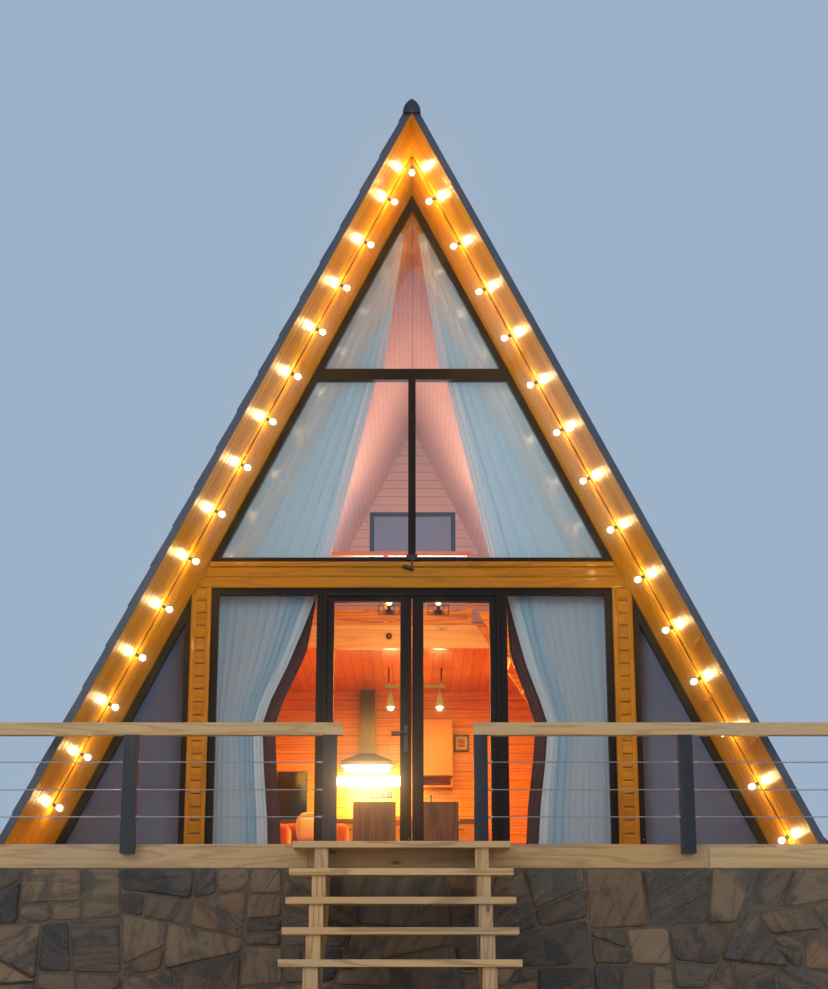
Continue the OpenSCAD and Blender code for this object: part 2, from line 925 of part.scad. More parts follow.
module tap() {
  spout_r = 60;
  stem_h = 240;
  color("#4a4a4c") {
    cylinder(r = 11, h = stem_h, $fn = 32);
    translate([0, -spout_r, stem_h]) rotate([90, 0, 90])
      rotate_extrude(angle = 180, $fn = 48) translate([spout_r, 0]) circle(r = 11, $fn = 32);
    translate([0, -2 * spout_r, stem_h - 50]) cylinder(r = 11, h = 50, $fn = 32);
  }
}

module kitchen_units() {
  front = room_y1 - kitchen_d;
  color("#e8a860") {
    block([kitchen_x[0] + 20, front + 70, floor_z],
          [kitchen_x[1] - 20, room_y1, floor_z + toe_h]);
    block([kitchen_x[0] + 20, front + 20, floor_z + toe_h],
          [kitchen_x[1] - 20, room_y1, floor_z + worktop_h - worktop_t]);
    block([cabinet_x[0], room_y1 - cabinet_d, floor_z + cabinet_h[0]],
          [cabinet_x[1], room_y1, floor_z + cabinet_h[1]]);
  }
  color("#4a3426")
    block([kitchen_x[0], front, floor_z + worktop_h - worktop_t],
          [kitchen_x[1], room_y1, floor_z + worktop_h]);
  translate([tap_x, room_y1 - 150, floor_z + worktop_h]) tap();
}

module range_hood() {
  duct_top = loft_h - loft_t - hood_h - hood_rim - hood_slope;
  color("#7d6a55") translate([hood_x, room_y1, floor_z + hood_h]) {
    translate([-hood_size[0] / 2, -hood_size[1], 0]) cube([hood_size[0], hood_size[1], hood_rim]);
    hull() {
      translate([-hood_size[0] / 2, -hood_size[1], hood_rim - 1]) cube([hood_size[0], hood_size[1], 1]);
      translate([-duct_w / 2, -duct_w, hood_rim + hood_slope]) cube([duct_w, duct_w, 1]);
    }
    translate([-duct_w / 2, -duct_w, hood_rim + hood_slope]) cube([duct_w, duct_w, duct_top]);
  }
}

module ceiling_lamps() {
  ceiling = floor_z + loft_h - loft_t;
  rail_w = 30;
  rail_x = [lamp_x[0] - 60, lamp_x[1] + 60];
  rail_drop = loft_h - loft_t - lamp_h - shade_h - lamp_stem_h - rail_w;
  shade_z = floor_z + lamp_h;
  color("#2a2422") {
    block([rail_x[0], lamp_y - rail_w / 2, ceiling - rail_drop - rail_w],
          [rail_x[1], lamp_y + rail_w / 2, ceiling - rail_drop]);
    for (x = [rail_x[0] + 40, rail_x[1] - 40])
      translate([x, lamp_y, ceiling - rail_drop]) cylinder(r = 8, h = rail_drop, $fn = 24);
    for (x = lamp_x) {
      translate([x, lamp_y, shade_z]) cylinder(r1 = shade_r, r2 = shade_r / 3, h = shade_h, $fn = 32);
      translate([x, lamp_y, shade_z + shade_h - touch]) cylinder(r = 8, h = lamp_stem_h + 2 * touch, $fn = 24);
    }
    for (x = lamp_x)
      translate([x, lamp_y, floor_z + lamp_h]) sphere(r = 32, $fn = 32);
  }
}

module picture_frame() {
  color("#4d1d10")
    block([picture_at[0], room_y1 - picture_size[1], floor_z + picture_at[1]],
          [picture_at[0] + picture_size[0], room_y1, floor_z + picture_at[1] + picture_size[2]]);
}

module dining_table() {
  color("#c4581f") {
    block([table_x[0], table_y[0], floor_z + table_h - table_t],
          [table_x[1], table_y[1], floor_z + table_h]);
    for (x = [table_x[0] + table_leg, table_x[1] - 2 * table_leg],
         y = [table_y[0] + table_leg, table_y[1] - 2 * table_leg])
      translate([x, y, floor_z]) cube([table_leg, table_leg, table_h - table_t]);
  }
}

// A chair facing along +Y, with its seat centred on the place given
module chair() {
  half = chair_seat / 2;
  for (x = [-half, half - chair_leg], y = [-half, half - chair_leg])
    translate([x, y, 0]) cube([chair_leg, chair_leg, chair_seat_h - chair_leg]);
  translate([-half, -half, chair_seat_h - chair_leg]) cube([chair_seat, chair_seat, chair_leg]);
  translate([-half, -half, chair_seat_h])
    cube([chair_seat, chair_leg, chair_back_h - chair_seat_h]);
}

module dining_chairs() {
  color("#3a2015") {
    for (x = chair_x) translate([x, table_y[0] - chair_gap, floor_z]) chair();
  }
}

module armchair() {
  seat = armchair_seat;
  side = [armchair_arm, seat[1] - armchair_arm, armchair_arm_h];
  place = table_x[0] - armchair_gap - seat[0];
  color("#c8551d") translate([place, armchair_y, floor_z]) {
    cube(seat);
    translate([0, seat[1] - armchair_arm, seat[2]]) cube([seat[0], armchair_arm, armchair_back_h]);
    for (x = [0, seat[0] - armchair_arm])
      translate([x, 0, seat[2]]) cube(side);
  }
}

// Curtains

track_h = 25;
track_z = beam_h - 10;
// The track and the lower curtains end short of the sloping lining
track_x = slope_x(track_z + track_h, room_in) - 15;

// A track behind the lower windows, fixed to the facade timbers
module curtain_tracks() {
  color("#e8e4dc")
    block([-track_x, facade_d, floor_z + track_z],
          [track_x, facade_d + curtain_t, floor_z + track_z + track_h]);
}

curtain_y = [facade_d + touch, facade_d + touch + curtain_t];
lower_top = track_z - touch;

// Full width at the track, drawn to the side at the tie, and hanging straight below it
module tied_curtain() {
  hem_h = 12;
  inner = door_half + mullion_w;
  along(curtain_y[0], curtain_y[1]) polygon([
    [inner, lower_top], [track_x, lower_top], [track_x, hem_h],
    [pinch_x - 130, hem_h], [pinch_x, pinch_h], [inner + 40, lower_top - 350]
  ]);
}

module curtains_lower() {
  color("#dfe5e6") both_sides() tied_curtain();
}

// Hung from the ridge along the slope, and drawn back to the sides at the foot
module sloped_curtain() {
  hem_h = upper_h0 + 20;
  d = room_in - touch;
  knee_h = [cross_h + 0.35 * cross_w, cross_h + 1.5 * cross_w];
  along(curtain_y[0], curtain_y[1]) polygon([
    [slope_x(ridge_h(d) - 120, d) - 20, ridge_h(d) - 120], [slope_x(hem_h, d), hem_h],
    [drawn_x, hem_h], [330, knee_h[0]], [260, knee_h[1]], [30, ridge_h(d) - 160]
  ]);
}

module curtains_upper() {
  color("#dfe5e6") both_sides() sloped_curtain();
}

// Light string on the soffit

function bulb_places(start, pitch) = [for (i = [0 : bulb_n - 1]) start + i * pitch];
// Each row of bulbs: its side, and the places up the slope
bulb_rows = [
  [-1, bulb_places(bulb_start_left, bulb_pitch_left)],
  [1, bulb_places(bulb_start_right, bulb_pitch_right)]
];
string_d = -string_r - touch;
apex_drop = 110;

// Places children on the soffit of one side, with +Z pointing off the boards
module on_soffit(side, s) {
  p = on_slope(s, 0);
  translate([side * p[0], -bulb_y, floor_z + p[1]]) rotate([0, -side * (90 + half_angle), 0])
    children();
}

// The straight run of cable from the lowest holder to the ridge
module string_run(side, start) {
  foot = on_slope(start - holder_r, string_d);
  run = (apex_h + string_d / sa - foot[1]) / ca - 2 * string_r;
  translate([side * foot[0], -bulb_y, floor_z + foot[1]]) rotate([0, -side * half_angle, 0])
    cylinder(r = string_r, h = run, $fn = 16);
}

module festoon_cord() {
  drop_top = apex_h + string_d / sa - 2 * string_r;
  color("#1b1718") {
    string_run(-1, bulb_start_left);
    string_run(1, bulb_start_right);
    translate([0, -bulb_y, floor_z + apex_h - apex_drop])
      cylinder(r = string_r, h = apex_drop - apex_h + drop_top, $fn = 16);
  }
}

holder_z = 2 * (string_r + touch);

module festoon_holders() {
  color("#1b1718") {
    for (row = bulb_rows, s = row[1])
      on_soffit(row[0], s) translate([0, 0, holder_z]) cylinder(r = holder_r, h = holder_l, $fn = 32);
    translate([0, -bulb_y, floor_z + apex_h - apex_drop - holder_l])
      cylinder(r = holder_r, h = holder_l, $fn = 32);
  }
}

// A pear-shaped bulb, whose neck widens until it runs into the sphere
module bulb() {
  neck_r = 12;
  centre_h = bulb_r + 3;
  lean = acos(bulb_r / norm([neck_r, centre_h])) - atan(centre_h / neck_r);
  cylinder(r1 = neck_r, r2 = bulb_r * cos(lean), h = centre_h + bulb_r * sin(lean), $fn = 32);
  translate([0, 0, centre_h]) sphere(r = bulb_r, $fn = 32);
}

module festoon_bulbs() {
  color("#fff2c8") {
    for (row = bulb_rows, s = row[1])
      on_soffit(row[0], s) translate([0, 0, holder_z + holder_l]) bulb();
    translate([0, -bulb_y, floor_z + apex_h - apex_drop - holder_l]) rotate([180, 0, 0]) bulb();
  }
}

plinth_front_wall();
plinth_cross_wall();
plinth_terrace_ends();
plinth_side_walls();
plinth_rear_wall();
deck_joists();
deck_boards();
deck_fascia();
sill_plates();
cabin_floor();
step_stringers();
step_treads();
railing_posts();
handrails();
railing_cables();
roof_panel_left();
roof_panel_right();
roof_sheet_left();
roof_sheet_right();
soffit_left();
soffit_right();
lining_left();
lining_right();
verge_trims();
ridge_cap();
facade_posts();
facade_beam();
side_light_left();
side_light_right();
door_frame();
corner_windows();
upper_window();
lower_glass();
upper_glass();
door_leaf_left();
door_leaf_right();
door_glass_left();
door_glass_right();
door_handle();
floodlight();
rear_wall();
rear_window();
rear_glass();
loft_floor();
loft_railing();
loft_stair_stringers();
loft_stair_treads();
kitchen_units();
range_hood();
ceiling_lamps();
picture_frame();
dining_table();
dining_chairs();
armchair();
curtain_tracks();
curtains_lower();
curtains_upper();
festoon_cord();
festoon_holders();
festoon_bulbs();
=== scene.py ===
"""Dresses the a-frame cabin: stone, boards, roofing, glass, curtains, lamps and the studio around it."""

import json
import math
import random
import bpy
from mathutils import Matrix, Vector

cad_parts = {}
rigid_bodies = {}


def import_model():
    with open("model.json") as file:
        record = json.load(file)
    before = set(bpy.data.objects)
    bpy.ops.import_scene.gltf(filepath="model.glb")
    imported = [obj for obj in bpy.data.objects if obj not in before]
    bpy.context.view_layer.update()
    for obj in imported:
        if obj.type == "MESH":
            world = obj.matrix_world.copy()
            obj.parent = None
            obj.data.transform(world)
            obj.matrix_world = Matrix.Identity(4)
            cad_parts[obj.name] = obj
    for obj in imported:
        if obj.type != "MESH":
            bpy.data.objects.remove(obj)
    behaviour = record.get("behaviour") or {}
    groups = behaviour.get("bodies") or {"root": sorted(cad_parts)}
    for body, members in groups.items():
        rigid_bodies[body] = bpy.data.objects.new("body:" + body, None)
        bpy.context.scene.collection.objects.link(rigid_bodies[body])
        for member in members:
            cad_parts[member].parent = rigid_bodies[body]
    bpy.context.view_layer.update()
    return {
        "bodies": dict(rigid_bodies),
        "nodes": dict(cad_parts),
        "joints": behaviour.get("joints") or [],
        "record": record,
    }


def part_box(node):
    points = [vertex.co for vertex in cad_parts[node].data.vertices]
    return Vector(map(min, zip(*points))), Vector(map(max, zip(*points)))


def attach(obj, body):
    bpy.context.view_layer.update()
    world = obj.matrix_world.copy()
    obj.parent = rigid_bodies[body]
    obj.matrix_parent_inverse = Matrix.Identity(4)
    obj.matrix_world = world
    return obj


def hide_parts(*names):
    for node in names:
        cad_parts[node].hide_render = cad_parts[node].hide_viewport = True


bl_info = {
    "name": "A-frame cabin",
    "version": (1, 0, 0),
    "blender": (4, 5, 0),
    "location": "View3D > Sidebar > Cabin",
    "description": "Dresses the a-frame cabin with stone, boards, roofing, glass, curtains and lamps",
    "category": "Object",
}

from functools import partial

import bmesh
import bpy
from bpy.props import FloatProperty, FloatVectorProperty, IntProperty, PointerProperty
from mathutils import Vector, noise

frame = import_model()
cad = frame["nodes"]

# The cabin's own sizes in metres, from the frame
FLOOR_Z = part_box("cabin_floor")[1][2]
HALF_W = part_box("corner_windows")[1][0]
FRONT_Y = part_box("soffit_left")[0][1]
REAR_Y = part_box("roof_panel_left")[1][1]
ROOM_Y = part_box("lining_left")[0][1]
SOFFIT_T = 0.014
APEX_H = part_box("soffit_left")[1][2] - FLOOR_Z - SOFFIT_T * 2.215
LEAN = math.atan(HALF_W / APEX_H)
SIN, COS, TAN = math.sin(LEAN), math.cos(LEAN), math.tan(LEAN)
SLOPE_LEN = HALF_W / SIN
ROOF_BASE = 0.052
COURSE, COURSE_STEP = 0.35, 0.010
GABLE_BOARD = 0.131
DECK_PITCH = 0.1756
STEP_COUNT, STEP_GOING, FIRST_STEP_Y = 6, 0.30, -2.03
POST_X = 1.704
WASH_Z, WASH_EDGE, WASH_SHARE = FLOOR_Z + 2.52, 0.05, 0.76

UP = (0.0, 0.0, 1.0)
SIDEWAYS = (1.0, 0.0, 0.0)
INWARD = (0.0, 1.0, 0.0)
SIDES = ((-1, "left"), (1, "right"))


def up_slope(side):
    """The direction up one roof slope: side is -1 for the left and 1 for the right."""
    return (-side * SIN, 0.0, COS)


def off_slope(side):
    """The direction straight out of one roof slope."""
    return (side * COS, 0.0, SIN)


def slope_x(height, depth=0.0):
    """How far from the middle the soffit is at a height above the floor, depth metres into the roof."""
    return HALF_W - height * TAN + depth / COS


# Materials


class Value:
    """One output of a node. Python's operators on it add Math nodes, and [name] takes another output."""

    def __init__(self, node, which=0):
        self.node, self.socket = node, node.outputs[which]

    def __getitem__(self, which):
        return Value(self.node, which)

    def __abs__(self):
        return calc("ABSOLUTE", self)

    def __add__(self, other):
        return calc("ADD", self, other)

    def __sub__(self, other):
        return calc("SUBTRACT", self, other)

    def __rsub__(self, other):
        return calc("SUBTRACT", other, self)

    def __mul__(self, other):
        return calc("MULTIPLY", self, other)

    def __truediv__(self, other):
        return calc("DIVIDE", self, other)

    def __pow__(self, other):
        return calc("POWER", self, other)


def add(kind, inputs=None, tree=None, **settings):
    """One node with its settings, and its inputs by name or number, each a value or a node's output.

    tree is needed only where no input comes from another node."""
    inputs = inputs or {}
    tree = tree or next(value.node.id_data for value in inputs.values() if isinstance(value, Value))
    item = tree.nodes.new(kind)
    for key, value in settings.items():
        setattr(item, key, value)
    for key, value in inputs.items():
        if isinstance(value, Value):
            tree.links.new(value.socket, item.inputs[key])
        elif item.inputs[key].type == "RGBA":
            item.inputs[key].default_value = (*value[:3], 1.0)
        else:
            item.inputs[key].default_value = value
    return Value(item)


def calc(operation, first, second=0.0, third=None, clamp=False):
    """A Math node. Only MULTIPLY_ADD takes a third value."""
    inputs = {0: first, 1: second} if third is None else {0: first, 1: second, 2: third}
    return add("ShaderNodeMath", inputs, operation=operation, use_clamp=clamp)


floor, fraction, ping_pong = partial(calc, "FLOOR"), partial(calc, "FRACT"), partial(calc, "PINGPONG")
sine, cosine, times_plus = partial(calc, "SINE"), partial(calc, "COSINE"), partial(calc, "MULTIPLY_ADD")
greatest, least = partial(calc, "MAXIMUM"), partial(calc, "MINIMUM")
is_less, is_more = partial(calc, "LESS_THAN"), partial(calc, "GREATER_THAN")


def along_axis(position, axis):
    """The coordinate of a position along an axis."""
    return add("ShaderNodeVectorMath", {0: position, 1: axis}, operation="DOT_PRODUCT")["Value"]


def vector_of(x, y=0.0, z=0.0):
    return add("ShaderNodeCombineXYZ", {0: x, 1: y, 2: z})


def speckle(vector, scale, detail=3.0, roughness=0.55, distortion=0.0):
    inputs = {"Vector": vector, "Scale": scale, "Detail": detail, "Roughness": roughness, "Distortion": distortion}
    return add("ShaderNodeTexNoise", inputs)["Fac"]


def span(value, low, high, to_low=0.0, to_high=1.0):
    """The value's place between low and high, eased, from to_low to to_high."""
    inputs = {0: value, 1: low, 2: high, 3: to_low, 4: to_high}
    return add("ShaderNodeMapRange", inputs, interpolation_type="SMOOTHSTEP")


def draw_of(inputs, dimensions):
    """A random number for each value or pair of values."""
    return add("ShaderNodeTexWhiteNoise", inputs, noise_dimensions=dimensions)


def tint(factor, first, second, blend="MIX"):
    """The second colour over the first, by a factor."""
    return add("ShaderNodeMix", {0: factor, 6: first, 7: second}, data_type="RGBA", blend_type=blend)[2]


def ramp(factor, stops):
    """Colours along a factor: stops are (place, colour)."""
    value = add("ShaderNodeValToRGB", {0: factor})
    band = value.node.color_ramp
    while len(band.elements) < len(stops):
        band.elements.new(0.5)
    for element, (place, colour) in zip(band.elements, stops):
        element.position = place
        element.color = (*colour[:3], 1.0)
    return value


def darker(colour, share):
    return tuple(share * c for c in colour)


def relief(height, distance, strength):
    return add("ShaderNodeBump", {"Height": height, "Distance": distance, "Strength": strength})


def principled(**sockets):
    """A Principled shader: sockets by name with _ for a space."""
    return add("ShaderNodeBsdfPrincipled", {key.replace("_", " "): value for key, value in sockets.items()})


def start(name):
    """A new material, and the object's own coordinates in its tree."""
    material = bpy.data.materials.new(name)
    material.use_nodes = True
    material.node_tree.nodes.clear()
    material.node_tree.nodes.new("ShaderNodeOutputMaterial")
    return material, add("ShaderNodeTexCoord", tree=material.node_tree)["Object"]


def covered(material, shader):
    """The material with this shader on its surface."""
    tree = material.node_tree
    tree.links.new(shader.socket, tree.get_output_node("ALL").inputs["Surface"])
    return material


def wood(name, along, across, width, colours, **look):
    """Boards of one width with grain, rings, knots and joints. colours run from the dark grain to the pale wood.

    look: start (where the first board begins), joint (its width), length (between butt joints), rough,
    coat, knots (their share), grey (weathering), tone (difference between boards), joint_dark,
    figure (strength of the rings), wash (height from which a pale wash covers it, its colour and its share)."""
    joint = look.get("joint", 0.004)
    material, position = start(name)
    u = along_axis(position, along)
    v = along_axis(position, across)
    w = along_axis(position, tuple(Vector(along).cross(Vector(across))))
    ratio = (v - look.get("start", 0.0)) / width
    board = floor(ratio)
    throw = draw_of({"W": board}, "1D")
    edge = abs(fraction(ratio) - 0.5)
    gap = span(edge, 0.5 - 0.5 * joint / width - 0.006, 0.5 - 0.2 * joint / width) if joint else None
    if look.get("length"):
        reach = look["length"]
        place = u / reach + throw * 7.31
        run = floor(place)
        butt = abs(fraction(place) - 0.5)
        ends = span(butt, 0.5 - 0.0025 / reach, 0.5 - 0.0008 / reach)
        gap = greatest(gap, ends) if gap else ends
        throw = draw_of({"Vector": vector_of(board, run)}, "2D")
    moved = u + throw * 23.7
    spots = vector_of(moved * 2.2, v * 5.0, throw * 9.0)
    cells = add("ShaderNodeTexVoronoi", {"Vector": spots, "Scale": 1.0, "Randomness": 0.9})
    knot_here = is_less(along_axis(cells["Color"], SIDEWAYS), look.get("knots", 0.35))
    far = cells["Distance"]
    knot = span(far, 0.075, 0.035) * knot_here
    halo = span(far, 0.3, 0.05) * knot_here
    broad = vector_of(moved * 0.55, v * 7.0, w * 7.0)
    swell = speckle(broad, 1.0, 2.0, 0.5)
    phase = swell * 15.0 + halo * 1.6
    rings = ping_pong(phase, 1.0)
    late = span(rings, 0.45, 0.98)
    fine = vector_of(moved * 7.0, v * 240.0, w * 240.0)
    fibre = speckle(fine, 1.0, 3.0, 0.6)
    dark, middle, pale = colours
    figure = look.get("figure", 0.5)
    grain = times_plus(late, figure, 0.3 * (0.5 - figure)) + fibre * 0.55
    colour = ramp(grain, [(0.12, pale), (0.5, middle), (0.95, dark)])
    colour = tint(throw * look.get("tone", 0.35), colour, middle, "MULTIPLY")
    worn = speckle(position, 1.3, 4.0, 0.6)
    if look.get("grey"):
        colour = tint(span(worn, 0.42, 0.68) * look["grey"], colour, (0.3, 0.27, 0.23))
    colour = tint(halo * 0.35, colour, dark)
    colour = tint(knot * 0.9, colour, darker(dark, 0.35))
    if look.get("wash"):
        height, pale, share = look["wash"]
        colour = tint(span(along_axis(position, UP), height, height + WASH_EDGE, 0.0, share), colour, pale)
    if gap:
        colour = tint(gap * look.get("joint_dark", 0.9), colour, darker(dark, 0.12))
    gloss = times_plus(fibre, 0.16, look.get("rough", 0.5) - 0.08)
    gloss = times_plus(late, -0.05, gloss)
    height = fibre * 0.5 - late * 0.25
    if gap:
        height = height - gap * 5.0
    bump = relief(height, look.get("relief", 0.0006), 0.7)
    shader = principled(Base_Color=colour, Roughness=gloss, Normal=bump, Coat_Weight=look.get("coat", 0.0),
                        Coat_Roughness=look.get("coat_rough", 0.2), Specular_IOR_Level=look.get("specular", 0.5))
    return covered(material, shader)


def painted(name, colour, rough=0.45, metal=0.0, worn=(0.0, 0.0, 0.0), share=0.15, grain=220.0, **more):
    """Paint, plastic or coated metal: a fine texture, soft streaks of dust and small differences in gloss."""
    material, position = start(name)
    cloud = speckle(position, 3.1, 5.0, 0.6)
    tiny = speckle(position, grain, 2.0, 0.5)
    flow = add("ShaderNodeVectorMath", {0: position, 1: (9.0, 9.0, 0.8)}, operation="MULTIPLY")
    streak = speckle(flow, 1.6, 3.0, 0.6)
    dust = span(streak, 0.45, 0.75) * share
    shade = tint(cloud * 0.3, colour, darker(colour, 0.55))
    shade = tint(dust, shade, worn)
    gloss = times_plus(cloud, 0.18, rough - 0.09)
    bump = relief(times_plus(tiny, 0.7, cloud), more.pop("relief", 0.0004), 0.35)
    shader = principled(Base_Color=shade, Roughness=gloss, Metallic=metal, Normal=bump, **more)
    return covered(material, shader)


def pane(name, mirror):
    """Window glass: clear, with a cool tint, a mirror sheen that grows at a flat angle, and faint smears."""
    material, position = start(name)
    smear = speckle(position, 0.9, 3.0, 0.55)
    ripple = relief(speckle(position, 1.7, 1.0, 0.4), 0.0015, 0.25)
    clear = add("ShaderNodeBsdfTransparent", {0: (0.93, 0.96, 0.97)}, material.node_tree)
    sheen = add("ShaderNodeBsdfGlossy", {"Color": (1.0, 1.0, 1.0), "Roughness": 0.02, "Normal": ripple})
    angle = add("ShaderNodeFresnel", {"IOR": 1.5, "Normal": ripple})
    share = calc("MULTIPLY", angle, span(smear, 0.2, 0.8, 0.8 * mirror, 1.1 * mirror), clamp=True)
    mix = add("ShaderNodeMixShader", {0: share, 1: clear, 2: sheen})
    return covered(material, mix)


def glowing(name, colour, power):
    """Lit glass: brightest facing the eye and warmer at its rim."""
    material, position = start(name)
    rim = add("ShaderNodeLayerWeight", {"Blend": 0.5}, material.node_tree)["Facing"]
    flicker = speckle(position, 55.0, 1.0)
    hot = tint(rim, (1.0, 0.86, 0.55), colour)
    strength = times_plus(flicker, 0.2 * power, 0.9 * power)
    shader = principled(Base_Color=(0.9, 0.8, 0.6), Roughness=0.12, Emission_Color=hot, Emission_Strength=strength)
    return covered(material, shader)


def mortar(name):
    """The wall between the stones: rough lime and sand mortar, darker near the ground."""
    material, position = start(name)
    cells = add("ShaderNodeTexVoronoi", {"Vector": position, "Scale": 5.2, "Randomness": 1.0})
    coarse = speckle(position, 18.0, 6.0, 0.7)
    sand = speckle(position, 420.0, 2.0, 0.6)
    height_z = along_axis(position, UP)
    colour = ramp(coarse, [(0.25, (0.085, 0.055, 0.032)), (0.6, (0.15, 0.1, 0.058)), (0.85, (0.22, 0.15, 0.088))])
    colour = tint(sand * 0.25, colour, (0.17, 0.125, 0.085))
    colour = tint(span(height_z, 0.35, 0.0, 0.0, 0.35), colour, (0.04, 0.042, 0.03))
    height = coarse * 3.0 + sand * 0.4
    height = height + cells["Distance"] * 1.5
    shader = principled(Base_Color=colour, Roughness=0.93, Normal=relief(height, 0.004, 0.8))
    return covered(material, shader)


def fieldstone(name):
    """Split stone: each stone has its own tone, with beds, veins, rust, lichen and a broken face."""
    material, position = start(name)
    mark = add("ShaderNodeAttribute", None, material.node_tree, attribute_name="tone", attribute_type="GEOMETRY")
    parts = add("ShaderNodeSeparateColor", {0: mark["Color"]})
    kind, light, turn = parts
    base = ramp(kind, [(0.0, (0.175, 0.136, 0.098)), (0.14, (0.07, 0.07, 0.074)), (0.26, (0.21, 0.158, 0.108)),
                       (0.44, (0.24, 0.186, 0.128)), (0.6, (0.275, 0.212, 0.145)), (0.72, (0.17, 0.152, 0.112)),
                       (0.84, (0.26, 0.172, 0.098)), (0.93, (0.31, 0.248, 0.175))])
    base.node.color_ramp.interpolation = "CONSTANT"
    swing = turn * 3.1
    spun = add("ShaderNodeVectorRotate", {"Vector": position, "Axis": (0.3, 1.0, 0.2), "Angle": swing},
               rotation_type="AXIS_ANGLE")
    moved = add("ShaderNodeVectorMath", {0: spun, 1: vector_of(kind * 31.0, turn)}, operation="ADD")
    flat = add("ShaderNodeVectorMath", {0: moved, 1: (2.2, 2.2, 15.0)}, operation="MULTIPLY")
    beds = speckle(flat, 1.0, 6.0, 0.62, 0.6)
    blotch = speckle(moved, 5.5, 5.0, 0.65)
    grit = speckle(moved, 70.0, 4.0, 0.65)
    fine = speckle(moved, 380.0, 2.0, 0.6)
    stain = speckle(moved, 2.6, 4.0, 0.6, 0.4)
    colour = tint(span(beds, 0.4, 0.72, 0.0, 0.6), base, (0.3, 0.235, 0.165))
    colour = tint(span(stain, 0.5, 0.6, 0.0, 0.78), colour, (0.058, 0.068, 0.084))
    colour = tint(span(beds, 0.5, 0.4, 0.0, 0.45), colour, (0.04, 0.042, 0.048))
    colour = tint(span(blotch, 0.54, 0.72) * span(kind, 0.78, 0.86, 0.1, 0.8), colour, (0.34, 0.165, 0.065))
    lichen = speckle(moved, 9.0, 6.0, 0.7)
    colour = tint(span(lichen, 0.6, 0.68, 0.0, 0.35), colour, (0.22, 0.23, 0.19))
    colour = tint(span(grit, 0.35, 0.75, 0.0, 0.35), colour, (0.29, 0.24, 0.18))
    colour = tint(1.0, colour, ramp(light, [(0.0, (0.47, 0.38, 0.33)), (1.0, (0.98, 0.74, 0.53))]), "MULTIPLY")
    height = beds * 5.0 + blotch * 4.0
    height = height + grit * 1.2
    height = height + fine * 0.35
    gloss = times_plus(beds, 0.25, 0.55)
    shader = principled(Base_Color=colour, Roughness=gloss, Normal=relief(height, 0.006, 0.9))
    return covered(material, shader)


def cloth(name, colour, weave, light_through, sheen=0.2, edge_colour=None):
    """Woven cloth: threads both ways, slubs, a soft sheen, light that comes through it, and a paler doubled edge."""
    material, position = start(name)
    u, v = along_axis(position, UP), along_axis(position, SIDEWAYS)
    warp = sine(v * weave)
    weft = sine(u * weave)
    threads = warp * weft
    slub = speckle(vector_of(v * 160.0, u * 9.0), 1.0, 3.0)
    cloud = speckle(position, 2.6, 4.0)
    shade = tint(slub * 0.35, colour, darker(colour, 0.72))
    shade = tint(cloud * 0.2, shade, darker(colour, 0.8))
    if edge_colour:
        edge = add("ShaderNodeAttribute", None, material.node_tree, attribute_name="edge",
                   attribute_type="GEOMETRY")["Fac"]
        shade = tint(edge, shade, edge_colour)
    height = times_plus(threads, 0.5, slub * 1.5)
    bump = relief(height, 0.0004, 0.5)
    shader = principled(Base_Color=shade, Roughness=0.85, Sheen_Weight=sheen, Sheen_Roughness=0.4, Normal=bump)
    if light_through:
        through = add("ShaderNodeBsdfTranslucent", {"Color": shade, "Normal": bump})
        shader = add("ShaderNodeMixShader", {0: light_through, 1: shader, 2: through})
    return covered(material, shader)


# Meshes


def keep(item, material=None, body="cabin", slot=None, smooth=None):
    """Puts a piece on its body, with its material and shading; slot is not used."""
    if material is not None:
        item.data.materials.clear()
        item.data.materials.append(material)
    if smooth is not None:
        item.data.shade_smooth() if smooth else item.data.shade_flat()
    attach(item, body)
    return item


def in_scene(name, data):
    """A new object of the scene."""
    item = bpy.data.objects.new(name, data)
    bpy.context.scene.collection.objects.link(item)
    return item


def new_piece(name, vertices, faces):
    mesh = bpy.data.meshes.new(name)
    mesh.from_pydata([tuple(v) for v in vertices], [], faces)
    mesh.validate()
    mesh.update()
    return in_scene(name, mesh)


def joined(name, parts):
    """One piece from several, with the first one's materials."""
    build = bmesh.new()
    for part in parts:
        build.from_mesh(part.data)
    mesh = bpy.data.meshes.new(name)
    build.to_mesh(mesh)
    build.free()
    for material in parts[0].data.materials:
        mesh.materials.append(material)
    for part in parts:
        old = part.data
        bpy.data.objects.remove(part)
        bpy.data.meshes.remove(old)
    return in_scene(name, mesh)


def shape_of(build):
    """The vertices and faces of a build, which ends here."""
    build.verts.index_update()
    shape = [v.co.copy() for v in build.verts], [[v.index for v in f.verts] for f in build.faces]
    build.free()
    return shape


def soft_block(low, high, rounding, segments=3):
    """The vertices and faces of a box with rounded edges."""
    build = bmesh.new()
    bmesh.ops.create_cube(build, size=1.0)
    size, middle = Vector(high) - Vector(low), (Vector(high) + Vector(low)) / 2
    for v in build.verts:
        v.co = Vector((v.co.x * size.x, v.co.y * size.y, v.co.z * size.z)) + middle
    bmesh.ops.bevel(build, geom=list(build.edges), offset=rounding, segments=segments, profile=0.6, affect="EDGES")
    return shape_of(build)


def built(name, finish, slot, shapes):
    """A smooth piece of the cabin from several lists of vertices and faces."""
    return keep(assembled(name, shapes), finishes[finish], slot=slot, smooth=True)


def assembled(name, shapes):
    """One piece from several lists of vertices and faces."""
    vertices, faces = [], []
    for points, rings in shapes:
        base = len(vertices)
        vertices.extend(points)
        faces.extend([[base + i for i in ring] for ring in rings])
    return new_piece(name, vertices, faces)


def circle(centre, side, other, radius, count):
    """Points round a centre, in the plane of two directions."""
    angles = [2 * math.pi * k / count for k in range(count)]
    return [centre + (side * math.cos(a) + other * math.sin(a)) * radius for a in angles]


